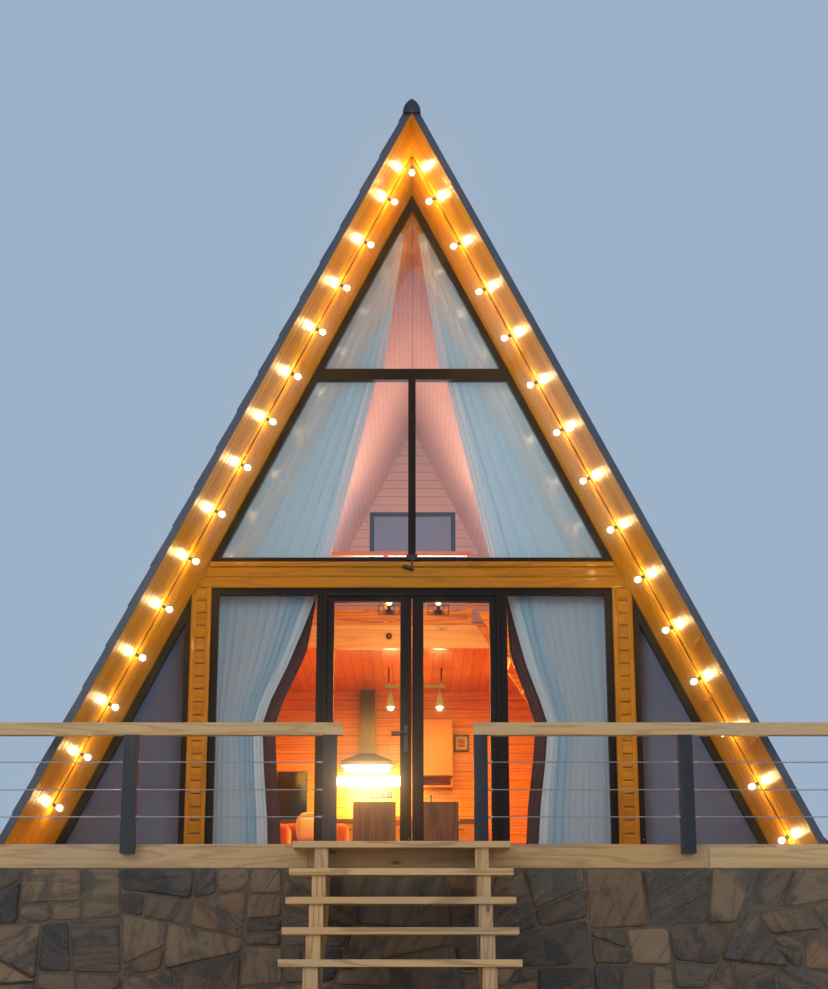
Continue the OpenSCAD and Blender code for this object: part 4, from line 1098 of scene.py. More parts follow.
def gable_finish(gold, room):
    """The rear gable: varnished boards outside, paler room boards inside."""
    outside = wood("rear_gable_boards", UP, SIDEWAYS, 0.14, gold, rough=0.42, coat=0.3, joint=0.008, knots=0.4,
                   grey=0.2)
    tree = outside.node_tree
    shader = next(n for n in tree.nodes if n.type == "BSDF_PRINCIPLED")
    position = add("ShaderNodeTexCoord", tree=tree)["Object"]
    y, z = along_axis(position, INWARD), along_axis(position, UP)
    x = along_axis(position, SIDEWAYS)
    inner = is_less(y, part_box("rear_wall")[0][1] + 0.002)
    row = (z - FLOOR_Z) / 0.105
    throw = draw_of({"W": floor(row)}, "1D")
    edge = abs(fraction(row) - 0.5)
    gap = span(edge, 0.465, 0.49)
    grain = speckle(vector_of(times_plus(throw, 31.0, x * 1.2), 0.0, z * 55.0), 1.0, 4.0, 0.6)
    boards = ramp(grain, [(0.25, room[2]), (0.5, room[1]), (0.8, room[0])])
    boards = tint(span(z, WASH_Z, WASH_Z + WASH_EDGE, 0.0, WASH_SHARE), boards, (0.72, 0.58, 0.53))
    boards = tint(gap * 0.9, boards, (0.03, 0.012, 0.005))
    old = Value(shader.inputs["Base Color"].links[0].from_node, 2)
    tree.links.new(tint(inner, old, boards).socket, shader.inputs["Base Color"])
    return outside


COVERS = {
    "frame": ("corner_windows", "side_light_left", "side_light_right", "door_frame", "door_leaf_left",
              "door_leaf_right", "upper_window", "rear_window"),
    "pane": ("door_glass_left", "door_glass_right", "lower_glass", "rear_glass"),
    "upper_pane": ("upper_glass",),
    "steel_dark": ("railing_posts",),
    "handle": ("door_handle",),
    "cable": ("railing_cables",),
    "plastic": ("floodlight",),
    "rubber": ("festoon_cord", "festoon_holders"),
    "bulb": ("festoon_bulbs",),
    "lamps": ("ceiling_lamps",),
    "raw_level": ("handrails", "deck_joists", "sill_plates"),
    "fascia": ("deck_fascia",),
    "raw_stringer": ("step_stringers",),
    "tread": ("step_treads",),
    "deck": ("deck_boards",),
    "verge": ("verge_trims",),
    "cap": ("ridge_cap",),
    "roof": ("roof_sheet_left", "roof_sheet_right"),
    "floor": ("cabin_floor",),
    "ceiling": ("loft_floor",),
    "room_wood": ("loft_railing", "loft_stair_stringers", "loft_stair_treads", "dining_table"),
    "dark_wood": ("dining_chairs", "picture_frame"),
    "hood": ("range_hood",),
    "kitchen": ("kitchen_units",),
    "gable": ("rear_wall",),
    "white": ("curtain_tracks",),
    "varnished_level": ("facade_beam",),
    "varnished_upright": ("facade_posts",),
    "mortar": ("plinth_front_wall", "plinth_cross_wall", "plinth_terrace_ends", "plinth_side_walls",
               "plinth_rear_wall"),
    "voile": ("curtains_lower", "curtains_upper"),
    "chair_cloth": ("armchair",),
    "lining_left": ("lining_left",), "lining_right": ("lining_right",),
    "panel_left": ("roof_panel_left",), "panel_right": ("roof_panel_right",),
    "soffit_left": ("soffit_left",), "soffit_right": ("soffit_right",),
}

finishes = {}


# Properties


def length(name, description, default, low, high):
    return FloatProperty(name=name, description=description, default=default, min=low, max=high, unit="LENGTH",
                         precision=4)


def shade(name, description, default):
    return FloatVectorProperty(name=name, description=description, default=default, min=0.0, max=1.0, size=3,
                               subtype="COLOR")


class CabinStone(bpy.types.PropertyGroup):
    """Sizes of the stonework"""
    mean_area: FloatProperty(name="Stone size", description="Face of a middling stone", default=0.115, min=0.02,
                             max=0.3, unit="AREA")
    joint: length("Joint", "Width of the mortar between two stones", 0.017, 0.006, 0.05)
    proud: length("Stands out", "How far a stone stands out of the mortar", 0.014, 0.003, 0.03)
    seed: IntProperty(name="Seed", description="Draws another wall", default=23, min=0, max=999)


class CabinBoards(bpy.types.PropertyGroup):
    """Sizes of the varnished boards"""
    pitch: length("Board width", "Width of a soffit board with its joint", 0.1229, 0.06, 0.25)
    rounding: length("Edge rounding", "Depth of the rounded edge of a board", 0.0045, 0.001, 0.01)
    crown: length("Crown", "How much a board is raised in its middle", 0.0012, 0.0, 0.004)
    post_pitch: length("Post board height", "Height of a board on the posts with its joint", 0.108, 0.05, 0.25)


class CabinRoof(bpy.types.PropertyGroup):
    """Sizes of the metal roof tiles"""
    wave: length("Wave", "Width of one wave of the tile sheet", 0.183, 0.08, 0.4)
    wave_height: length("Wave height", "Height of a wave over the sheet's trough", 0.012, 0.004, 0.03)
    nose: length("Nose", "Drop at the lower edge of each course", 0.013, 0.005, 0.03)


class CabinCloth(bpy.types.PropertyGroup):
    """Colours of the curtains; the voiles' blue is painted sky light and sky reflection over pale cloth"""
    # painted sky light and sky reflection: the voile and upper voile colours are bluer than the pale cloth
    voile: shade("Voile", "Colour of the pale curtains", (0.455, 0.63, 0.74))
    upper: shade("Upper voile", "Colour of the pale curtains of the upper window", (0.60, 0.82, 0.93))
    edge: shade("Doubled edge", "Colour of the pale curtains where their edge is doubled", (0.80, 0.83, 0.84))
    blind: shade("Blind", "Colour of the blinds of the small windows", (0.235, 0.32, 0.48))
    drape: shade("Drape", "Colour of the dark curtains behind them", (0.085, 0.050, 0.048))


class CabinLight(bpy.types.PropertyGroup):
    """Strength and colour of the lamps"""
    bulb_colour: shade("Bulb colour", "Colour of the light string", (1.0, 0.68, 0.27))
    bulb_glow: FloatProperty(name="Bulb glow", description="Strength of the glass of a lit bulb", default=30.0,
                             min=0.0, max=500.0)
    bulb_power: FloatProperty(name="Bulb power", description="Light of one bulb", default=8.5, min=0.0, max=100.0,
                              unit="POWER")
    room_power: FloatProperty(name="Room power", description="Light of the rooms behind the glass", default=1.0,
                              min=0.0, max=10.0)


class CabinFinish(bpy.types.PropertyGroup):
    """Colours of wood, paint and metal"""
    varnish_dark: shade("Varnished grain", "Dark grain of the varnished boards", (0.44, 0.170, 0.003))
    varnish: shade("Varnished pine", "Middle colour of the varnished boards", (0.65, 0.310, 0.006))
    varnish_pale: shade("Varnished sapwood", "Pale colour of the varnished boards", (0.76, 0.400, 0.014))
    pine_dark: shade("Raw grain", "Dark grain of the bare pine", (0.37, 0.172, 0.055))
    pine: shade("Raw pine", "Middle colour of the bare pine", (0.60, 0.345, 0.130))
    pine_pale: shade("Raw sapwood", "Pale colour of the bare pine", (0.75, 0.465, 0.200))
    frame: shade("Window frames", "Paint of the window and door frames", (0.0105, 0.0075, 0.0068))
    verge: shade("Verge", "Metal trim along the gable edge", (0.050, 0.062, 0.082))
    cap: shade("Ridge cap", "Metal cap of the ridge", (0.020, 0.024, 0.034))
    roof: shade("Roof tiles", "Metal tiles of the roof", (0.026, 0.028, 0.031))


class CabinSettings(bpy.types.PropertyGroup):
    """All sizes and colours of the cabin"""
    stone: PointerProperty(type=CabinStone)
    boards: PointerProperty(type=CabinBoards)
    roof: PointerProperty(type=CabinRoof)
    cloth: PointerProperty(type=CabinCloth)
    light: PointerProperty(type=CabinLight)
    finish: PointerProperty(type=CabinFinish)


# Operators


class CABIN_OT_finishes(bpy.types.Operator):
    """Give every part of the frame its finish"""
    bl_idname = "cabin.finishes"
    bl_label = "Finishes"

    def execute(self, context):
        finishes.update(make_finishes())
        for finish, names in COVERS.items():
            for name in names:
                cad[name].data.materials.clear()
                cad[name].data.materials.append(finishes[finish])
        bare = [name for name in cad if not any(name in names for names in COVERS.values())]
        if bare:
            raise RuntimeError("no finish for " + ", ".join(bare))
        return {"FINISHED"}


class CABIN_OT_stonework(bpy.types.Operator):
    """Face the plinth walls with split stones"""
    bl_idname = "cabin.stonework"
    bl_label = "Stonework"

    def execute(self, context):
        sizes = settings().stone
        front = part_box("plinth_front_wall")
        cross, sides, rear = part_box("plinth_cross_wall"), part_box("plinth_side_walls"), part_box("plinth_rear_wall")
        high = front[1][2]
        wide, deep = front[1][0] - front[0][0], cross[1][1] - front[0][1]
        x0, y0 = front[0][0], front[0][1]
        long_side = rear[1][1] - sides[0][1]
        walls = [
            ("front", wide, lambda u, v, d: (x0 + u, y0 - d, v), False),
            ("terrace_left", deep, lambda u, v, d: (-front[1][0] - d, y0 + u, v), True),
            ("terrace_right", deep, lambda u, v, d: (front[1][0] + d, y0 + u, v), False),
            ("side_left", long_side, lambda u, v, d: (sides[0][0] - d, sides[0][1] + u, v), True),
            ("side_right", long_side, lambda u, v, d: (sides[1][0] + d, sides[0][1] + u, v), False),
            ("rear", rear[1][0] - rear[0][0], lambda u, v, d: (rear[0][0] + u, rear[1][1] + d, v), True),
            ("return_left", cross[1][0] - sides[1][0], lambda u, v, d: (cross[0][0] + u, cross[1][1] + d, v), True),
            ("return_right", cross[1][0] - sides[1][0], lambda u, v, d: (sides[1][0] + u, cross[1][1] + d, v), True),
        ]
        for number, (name, run, place, flip) in enumerate(walls):
            item = stone_facing("stones_" + name, run, high, place, sizes.mean_area, sizes.joint, sizes.proud,
                                sizes.seed + number, flip)
            keep(item, finishes["stone"], slot="stone", smooth=True)
        return {"FINISHED"}


class CABIN_OT_roofing(bpy.types.Operator):
    """Lay the courses of metal tiles on both slopes"""
    bl_idname = "cabin.roofing"
    bl_label = "Roof tiles"

    def execute(self, context):
        sizes = settings().roof
        tree = roof_course_tree()
        first = -COURSE / 3
        values = {"Courses": 20, "Course": COURSE, "First course": first, "Length": REAR_Y - FRONT_Y, "Across": 285,
                  "Wave": sizes.wave, "Wave height": sizes.wave_height, "Tilt": COURSE_STEP, "Nose": sizes.nose,
                  "Base": ROOF_BASE + 0.001, "Top end": SLOPE_LEN + ROOF_BASE / TAN - 0.075}
        for side, name in SIDES:
            values["Origin"] = (side * HALF_W, FRONT_Y if side < 0 else REAR_Y, FLOOR_Z)
            values["Turn"] = lean_turn(side)
            item = grown("roof_tiles_" + name, tree, values, finishes["roof"])
            low_edge = [v for v in item.data.vertices if v.co.z < FLOOR_Z and v.co.y < ROOM_Y]
            for v in low_edge:
                v.co.z = max(v.co.z, FLOOR_Z)
            keep(item, slot="roof_metal", smooth=False)
        return {"FINISHED"}


class CABIN_OT_boarding(bpy.types.Operator):
    """Board the soffits, the beam, the posts and the rear gable"""
    bl_idname = "cabin.boarding"
    bl_label = "Varnished boards"

    def execute(self, context):
        sizes = settings().boards
        tree = board_row_tree()
        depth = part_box("soffit_left")[1][1] - FRONT_Y
        count = round(depth / sizes.pitch)
        pitch = depth / count
        for side, name in SIDES:
            start_y = FRONT_Y + pitch / 2 if side < 0 else FRONT_Y + depth - pitch / 2
            item = grown("soffit_boards_" + name, tree, {
                "Boards": count, "Pitch": pitch, "Width": pitch - 0.0008, "Thickness": SOFFIT_T, "Length": SLOPE_LEN,
                "Crown": sizes.crown, "Rounding": sizes.rounding, "Foot cut": TAN, "Head cut": 1 / TAN,
                "Unevenness": 0.0006, "Seed": 11 + side, "Origin": (side * HALF_W, start_y, FLOOR_Z),
                "Turn": lean_turn(side)}, finishes["soffit_" + name])
            keep(item, slot="varnished_pine", smooth=False)
            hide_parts("soffit_" + name)
        self.clad_beam(tree)
        self.clad_posts(tree, sizes)
        self.clad_gable(tree)
        return {"FINISHED"}

    def clad_gable(self, tree):
        """Upright boards on the rear gable, cut to the slopes and round the window, with trims over their ends"""
        low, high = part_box("rear_wall")
        hole_low, hole_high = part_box("rear_window")
        half, tall, face = high[0] - 0.015, high[2] - low[2], high[1]
        fall = tall / high[0]
        beside = round((half - hole_high[0]) / GABLE_BOARD)
        over = round(2 * hole_high[0] / GABLE_BOARD)
        rows = (("left", beside, half, (half - hole_high[0]) / beside, low[2], tall, fall),
                ("right", beside, -hole_high[0], (half - hole_high[0]) / beside, low[2], tall, fall),
                ("below", over, hole_high[0], 2 * hole_high[0] / over, low[2], hole_low[2] - low[2], 0.0),
                ("above", over, hole_high[0], 2 * hole_high[0] / over, hole_high[2], high[2] - hole_high[2], fall))
        parts = []
        for number, (name, count, edge, pitch, foot, length, drop) in enumerate(rows):
            first = edge - pitch / 2
            parts.append(grown("gable_boards_" + name, tree, {
                "Boards": count, "Pitch": pitch, "Width": pitch - 0.003, "Thickness": 0.013, "Length": length,
                "Crown": 0.0008, "Rounding": 0.005, "Unevenness": 0.0012, "Seed": 51 + number, "Fall": drop,
                "Peak": first, "Origin": (first, face + 0.013, foot), "Turn": (0.0, -math.pi / 2, math.pi / 2)},
                finishes["gable_boards"]))
        keep(joined("gable_cladding", parts), slot="varnished_pine", smooth=False)
        wide, near, far = 0.075, face + 0.0005, face + 0.026
        x, z0, z1 = hole_high[0], hole_low[2], hole_high[2]
        frame = [soft_block((a, near, b), (c, far, d), 0.003) for a, b, c, d in (
            (-x - wide, z0 - wide, -x, z1 + wide), (x, z0 - wide, x + wide, z1 + wide),
            (-x, z0 - wide, x, z0), (-x, z1, x, z1 + wide))]
        edge = [(high[0] - 0.004, low[2]), (0.0, high[2] - 0.008), (0.0, high[2] - 0.008 - 0.11 / SIN),
                (high[0] - 0.004 - 0.11 / COS, low[2])]
        for side in (-1, 1):
            points = [Vector((side * px, y, pz)) for y in (face + 0.0165, face + 0.034) for px, pz in edge]
            rings = [[0, 1, 2, 3], [4, 5, 6, 7]] + [[i, (i + 1) % 4, 4 + (i + 1) % 4, 4 + i] for i in range(4)]
            frame.append((points, rings))
        trims = assembled("gable_trims", frame)
        build = bmesh.new()
        build.from_mesh(trims.data)
        bmesh.ops.recalc_face_normals(build, faces=build.faces)
        build.to_mesh(trims.data)
        build.free()
        keep(trims, finishes["gable_boards"], slot="varnished_pine", smooth=False)

    def clad_beam(self, tree):
        """Three long boards across the beam, over its face"""
        low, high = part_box("facade_beam")
        rows = ((high[2] - 0.022, 0.044), (high[2] - 0.089, 0.086), (high[2] - 0.180, 0.092))
        parts = []
        for number, (middle, width) in enumerate(rows):
            half = slope_x(middle - FLOOR_Z + width / 2) - 0.003
            lift = 0.010 if number == 0 else 0.0
            parts.append(grown("beam_board_%d" % number, tree, {
                "Boards": 1, "Pitch": 0.1, "Width": width, "Thickness": 0.016 + lift, "Length": 2 * half,
                "Crown": 0.0008, "Rounding": 0.005, "Unevenness": 0.0, "Turn": (-math.pi / 2, 0.0, 0.0),
                "Origin": (-half, low[1] - 0.016 - lift, middle)}, finishes["varnished_level"]))
        keep(joined("beam_cladding", parts), slot="varnished_pine", smooth=False)

    def clad_posts(self, tree, sizes):
        """Short boards up the middle of each post between two upright trims, and a dark sheet behind them as painted
        shade in their gaps
        """
        low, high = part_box("facade_posts")
        width = high[0] - POST_X
        parts = []
        foot, head = low[2], high[2]
        count = int((head - foot) / sizes.post_pitch)
        pitch = (head - foot) / count
        for side in (-1, 1):
            x0 = POST_X if side > 0 else -high[0]
            parts.append(grown("post_boards", tree, {
                "Boards": count, "Pitch": pitch, "Width": pitch - 0.008, "Thickness": 0.014, "Length": 0.50 * width,
                "Crown": 0.0006, "Rounding": 0.005, "Unevenness": 0.0008, "Seed": 31 + side,
                "Origin": (x0 + 0.25 * width, low[1] - 0.014, head - pitch / 2), "Turn": (-math.pi / 2, 0.0, 0.0)},
                finishes["varnished_level"]))
            for x in (x0 + 0.005, x0 + 0.755 * width):
                parts.append(grown("post_trim", tree, {
                    "Boards": 1, "Width": 0.24 * width, "Thickness": 0.016, "Length": head - foot,
                    "Crown": 0.0004, "Rounding": 0.003, "Unevenness": 0.0,
                    "Origin": (x + 0.12 * width, low[1] - 0.016, foot), "Turn": (0.0, -math.pi / 2, -math.pi / 2)},
                    finishes["varnished_upright"]))
        rows = [p for p in parts if p.name.startswith("post_boards")]
        trims = [p for p in parts if p not in rows]
        keep(joined("post_cladding", rows), slot="varnished_pine", smooth=False)
        keep(joined("post_trims", trims), slot="varnished_pine", smooth=False)
        inner, outer = POST_X + 0.25 * width, POST_X + 0.75 * width
        # painted shade: a thin dark sheet behind the post boards, so their gaps read as shadow lines
        shade_sheet = assembled("post_backing", [
            soft_block((near, low[1] - 0.003, foot + 0.002), (far, low[1] - 0.0005, head - 0.002), 0.0008, 1)
            for near, far in ((-outer, -inner), (inner, outer))])
        keep(shade_sheet, finishes["dark_wood"], slot="dark_wood", smooth=False)


class CABIN_OT_fixings(bpy.types.Operator):
    """Set the nails and screws, the battens of the soffit and the ends of the cables"""
    bl_idname = "cabin.fixings"
    bl_label = "Nails and screws"

    def execute(self, context):
        tree = head_row_tree()
        finish = finishes["cable"]
        low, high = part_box("deck_boards")
        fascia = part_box("deck_fascia")[0]
        parts = [grown("deck", tree, {"Columns": 15, "Rows": 10, "Column pitch": 0.5, "Row pitch": DECK_PITCH,
                                      "Radius": 0.0045, "Height": 0.0012, "Jitter": 0.006, "Seed": seed,
                                      "Origin": (low[0] + 0.04, low[1] + shift, high[2])}, finish) for seed,
                 shift in ((5, 0.045), (6, 0.125))]
        parts.append(grown("fascia", tree, {
            "Columns": 13, "Rows": 2, "Column pitch": 0.57, "Row pitch": 0.085, "Radius": 0.0045, "Height": 0.0015,
            "Jitter": 0.012, "Seed": 9, "Origin": (fascia[0] + 0.10, fascia[1], fascia[2] + 0.115),
            "Turn": (math.pi / 2, 0.0, 0.0)}, finish))
        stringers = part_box("step_stringers")
        for x in (stringers[0][0] + 0.0475, stringers[1][0] - 0.0475):
            for k in range(STEP_COUNT):
                place = (x - 0.028, FIRST_STEP_Y - STEP_GOING * k + 0.055, FLOOR_Z - k * FLOOR_Z / STEP_COUNT)
                parts.append(grown("tread", tree, {
                    "Columns": 2, "Rows": 2, "Column pitch": 0.05, "Row pitch": 0.16, "Radius": 0.0045,
                    "Height": 0.0012, "Jitter": 0.008, "Seed": 40 + k, "Origin": place}, finish))
        keep(joined("deck_and_step_screws", parts), slot="dark_steel", smooth=False)
        self.battens()
        self.cable_ends()
        return {"FINISHED"}

    def battens(self):
        """The three short battens nailed across the right soffit"""
        shapes = []
        for h, y0, y1 in ((1.573, -1.49, -1.035), (1.237, -0.84, -0.205), (0.788, -1.485, -0.925)):
            along, out = Vector(up_slope(1)), -Vector(off_slope(1))
            foot = Vector((slope_x(h), 0.0, FLOOR_Z + h))
            points, faces = soft_block((-0.014, y0, 0.0), (0.014, y1, 0.011), 0.002, 2)
            shapes.append(([foot + along * p.x + Vector((0, p.y, 0)) + out * p.z for p in points],
                           [face[::-1] for face in faces]))
        built("soffit_battens", "soffit_right", "varnished_pine", shapes)

    def cable_ends(self):
        """A pressed sleeve and a collar where each cable meets its post"""
        profile = [(0.013, 0.0), (0.013, 0.004), (0.008, 0.006), (0.008, 0.034), (0.0055, 0.040)]
        shapes = []
        for low, high in solids_of("railing_cables"):
            middle = (low + high) / 2
            for x, way in ((low.x, 1), (high.x, -1)):
                shapes.append(turned(profile, (x, middle.y, middle.z), (way, 0, 0), 12))
        built("cable_ends", "cable", "cable_steel", shapes)


class CABIN_OT_door_seals(bpy.types.Operator):
    """Fit the outer stops of the door frame and the brushes between the two leaves"""
    bl_idname = "cabin.door_seals"
    bl_label = "Door stops and brushes"

    def execute(self, context):
        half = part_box("door_frame")[1][0]
        foot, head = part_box("door_leaf_left")[0][2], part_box("door_leaf_left")[1][2]
        stops = [soft_block((x0, 0.006, foot - 0.02), (x0 + 0.024, 0.0195, head + 0.02), 0.002, 2)
                 for x0 in (-half - 0.012, half - 0.012)]
        inner = half - 0.0125
        stops.append(soft_block((-inner, 0.006, head - 0.006), (inner, 0.0195, head + 0.02), 0.002, 2))
        built("door_stops", "frame", "frame_paint", stops)
        for side, body, name in ((-1, "left_door", "left"), (1, "right_door", "right")):
            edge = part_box("door_leaf_" + name)[1 if side < 0 else 0][0]
            near, far = sorted((edge, edge - side * 0.0022))
            for number, y in enumerate((0.044, 0.068)):
                keep(assembled("door_brush_%s_%d" % (name, number), [
                    soft_block((near, y, foot + 0.01), (far, y + 0.008, head - 0.01), 0.0006, 1)]),
                    finishes["rubber"], body, "black_plastic", False)
        return {"FINISHED"}


class CABIN_OT_curtains(bpy.types.Operator):
    """Hang the white curtains and the dark ones behind them"""
    bl_idname = "cabin.curtains"
    bl_label = "Curtains"

    def execute(self, context):
        low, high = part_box("curtains_lower")
        top, foot = high[2] - FLOOR_Z, low[2] - FLOOR_Z
        middle = (low[1] + high[1]) / 2
        inner = {-1: ((0.0, 1.190), (0.35, 1.205), (0.75, 1.240), (1.142, 1.262), (1.35, 1.195), (1.65, 1.055),
                      (1.95, 0.935), (2.28, 0.815)),
                 1: ((0.0, 1.045), (0.45, 1.075), (0.85, 1.125), (1.142, 1.150), (1.35, 1.085), (1.65, 0.975),
                     (1.95, 0.895), (2.28, 0.812))}
        swing = piecewise(((0.0, 0.017), (1.142, 0.013), (1.6, 0.015), (2.28, 0.013)))
        for side, name in SIDES:
            edge = piecewise(inner[side])
            voile = hanging_cloth("voile_" + name, top, foot, lambda h: side * edge(h), lambda h: side * 1.688,
                                  middle - 0.010, swing, 11, 190, 60, 70 + side, 0.09, 0.30)
            keep(voile, finishes["voile"], slot="curtain", smooth=True)
            drape = hanging_cloth("drape_" + name, top, foot,
                                  lambda h: side * (edge(h) - 0.105 * min(1.0, (top - h) / 0.5)),
                                  lambda h: side * (edge(h) + 0.20), middle + 0.021,
                                  piecewise(((0.0, 0.008), (2.28, 0.008))), 6, 90, 50, 80 + side)
            keep(drape, finishes["drape"], slot="curtain", smooth=True)
            if side < 0:
                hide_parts("curtains_lower")
        low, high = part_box("curtains_upper")
        foot = low[2] - FLOOR_Z
        for side, name in SIDES:
            points = {-1: ((2.53, 0.722), (4.206, 0.320), (4.319, 0.258), (5.795, 0.037)),
                      1: ((2.53, 0.690), (4.206, 0.311), (4.319, 0.249), (5.795, 0.022))}[side]
            edge = piecewise(points)
            top = 5.60
            item = hanging_cloth("upper_voile_" + name, top, foot, lambda h: side * edge(h),
                                 lambda h: side * max(slope_x(h) - 0.014, edge(h) + 0.012), middle,
                                 piecewise(((2.53, 0.018), (4.3, 0.014), (5.6, 0.006))), 8, 170, 90, 90 + side, 0.085,
                                 0.22, 0.052)
            keep(item, finishes["upper_voile"], slot="curtain", smooth=True)
            if side < 0:
                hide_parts("curtains_upper")
            wide = 1.45 * (slope_x(foot) - 0.014 - edge(foot))
            min(cloth_area(item), wide * (top - foot))
        self.blinds()
        return {"FINISHED"}

    def blinds(self):
        """Plain blinds behind the corner windows and the loft window at the rear"""
        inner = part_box("facade_posts")[1][0] + 0.008
        top = (HALF_W - 0.012 - inner) / TAN - 0.03
        still = piecewise(((0.0, 0.004), (top, 0.003)))
        for side, name in SIDES:
            item = hanging_cloth("corner_blind_" + name, top, 0.012, lambda h: side * inner,
                                 lambda h: side * (slope_x(h) - 0.012), 0.122, still, 2, 60, 40, 120 + side)
            keep(item, finishes["blind"], slot="curtain", smooth=True)
            wide = slope_x(0.0) - inner
            min(cloth_area(item), wide * top)
        low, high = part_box("rear_glass")
        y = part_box("rear_wall")[0][1] + 0.022
        item = hanging_cloth("rear_blind", high[2] - FLOOR_Z, low[2] - FLOOR_Z, lambda h: low[0], lambda h: high[0],
                             y, piecewise(((0.0, 0.003), (6.0, 0.003))), 2, 40, 40, 130)
        keep(item, finishes["blind"], slot="curtain", smooth=True)
        cloth_area(item) / (high[2] - low[2])
        high[2] - low[2]


class CABIN_OT_interior(bpy.types.Operator):
    """Furnish the room behind the glass"""
    bl_idname = "cabin.interior"
    bl_label = "Interior"

    def execute(self, context):
        self.armchair()
        self.kitchen()
        self.loft()
        return {"FINISHED"}

    def armchair(self):
        """Upholstered base, arms and back, a loose seat cushion and a pillow"""
        (x0, y0, z0), (x1, y1, z1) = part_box("armchair")
        arm, seat, mid = 0.11, z0 + 0.42, z0 + 0.25
        body = built("armchair_body", "chair_cloth", "upholstery", [
            cushion((x0, y0, z0), (x1, y1, mid), 0.025, 0.008, 12),
            cushion((x0, y0, mid), (x0 + arm, y1 - arm, seat + 0.18), 0.035, 0.008),
            cushion((x1 - arm, y0, mid), (x1, y1 - arm, seat + 0.18), 0.035, 0.008),
            cushion((x0, y1 - arm, mid), (x1, y1, z1), 0.035, 0.010, 12),
            welt((x0 + 0.012, y0 + 0.012), (x1 - 0.012, y1 - 0.012), mid - 0.012, 0.004)])
        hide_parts("armchair")
        pad = built("seat_cushion", "chair_cloth", "upholstery", [
            cushion((x0 + arm + 0.006, y0 + 0.004, mid + 0.002), (x1 - arm - 0.006, y1 - arm - 0.006, seat + 0.012),
                    0.040, 0.020, 14, 0.006),
            welt((x0 + arm + 0.024, y0 + 0.022), (x1 - arm - 0.024, y1 - arm - 0.024), seat - 0.052, 0.004)])
        side, back = x0 + arm, y1 - arm - 0.012
        pillow = built("pillow", "pillow", "upholstery", [cushion((side + 0.02, back - 0.123, seat + 0.014),
                                                                  (side + 0.36, back, seat + 0.335), 0.05, 0.03, 14,
                                                                  0.014)])

    def kitchen(self):
        """Cabinet front and shelf, worktop lamp, dark screen, framed print, sockets and the grips of the fronts"""
        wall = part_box("rear_wall")[0][1]
        (x0, _, z0), (x1, _, z1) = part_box("picture_frame")
        bar, near, far = 0.022, wall - 0.037, wall - 0.0255
        back, low, top = wall - 0.22, FLOOR_Z + 1.262, FLOOR_Z + 1.379
        pieces = (
            ("cabinet_front", "cabinet", "kitchen_front", (
                ((0.114, wall - 0.348, FLOOR_Z + 1.384), (0.466, wall - 0.3305, FLOOR_Z + 2.026), 0.003, 2),)),
            ("cabinet_shelf", "room_wood", "varnished_pine", (
                ((0.112, back, low), (0.130, wall, top), 0.002, 2),
                ((0.450, back, low), (0.468, wall, top), 0.002, 2),
                ((0.1305, back, low), (0.4495, wall, FLOOR_Z + 1.280), 0.002, 2),
                ((0.1305, wall - 0.012, FLOOR_Z + 1.2805), (0.4495, wall, top), 0.002, 2))),
            ("worktop_lamp", "worktop_lamp", "bulb_glass", (
                ((-0.887, wall - 0.075, 2.546), (-0.139, wall - 0.001, 2.655), 0.018, 4),
                ((-0.79, 5.93, 2.690), (-0.27, 6.20, 2.7395), 0.012, 3))),
            ("socket_strip", "hood", "black_plastic", (
                ((-0.50, wall - 0.016, 2.410), (-0.241, wall, 2.480), 0.004, 2),)),
            ("dark_screen", "screen", "black_plastic", (
                ((-1.587, wall - 0.034, 2.13), (-1.236, wall, 2.71), 0.006, 3),
                ((-1.575, wall - 0.0385, 2.142), (-1.248, wall - 0.0345, 2.698), 0.0015, 2))),
            ("picture_mouldings", "dark_wood", "dark_wood", (
                ((x0, near, z0), (x0 + bar, far, z1), 0.004, 3),
                ((x1 - bar, near, z0), (x1, far, z1), 0.004, 3),
                ((x0 + bar, near, z0), (x1 - bar, far, z0 + bar), 0.004, 3),
                ((x0 + bar, near, z1 - bar), (x1 - bar, far, z1), 0.004, 3))),
            ("picture_mount", "white", "track_white", (
                ((x0 + bar, wall - 0.0285, z0 + bar), (x1 - bar, far, z1 - bar), 0.0008, 1),)),
            ("picture_print", "print", "dark_wood", (
                ((x0 + 0.05, wall - 0.0305, z0 + 0.05), (x1 - 0.05, wall - 0.0288, z1 - 0.05), 0.0005, 1),)))
        dish = [(0.0255, -0.004), (0.0255, 0.002), (0.021, 0.0035), (0.019, 0.0015), (0.004, 0.0015)]
        sockets = [turned(dish, (-0.4705 + k * 0.066, wall - 0.016, 2.445), (0, -1, 0), 20) for k in range(4)]
        for name, finish, slot, blocks in pieces:
            more = sockets if name == "socket_strip" else []
            built(name, finish, slot, [soft_block(*block) for block in blocks] + more)
        front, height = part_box("kitchen_units")[0][1], FLOOR_Z + 0.74
        middles = (-1.215, -0.645, -0.075, 0.495)
        bars = [((x - 0.09, front - 0.022, height), (x + 0.09, front - 0.022, height)) for x in middles]
        stems = [((x + dx, front - 0.0165, height), (x + dx, front, height)) for x in middles for dx in (-0.07, 0.07)]
        built("kitchen_grips", "handle", "dark_steel",
              [rod(ends, 0.005, 12) for ends in bars] + [rod(ends, 0.004, 10) for ends in stems])

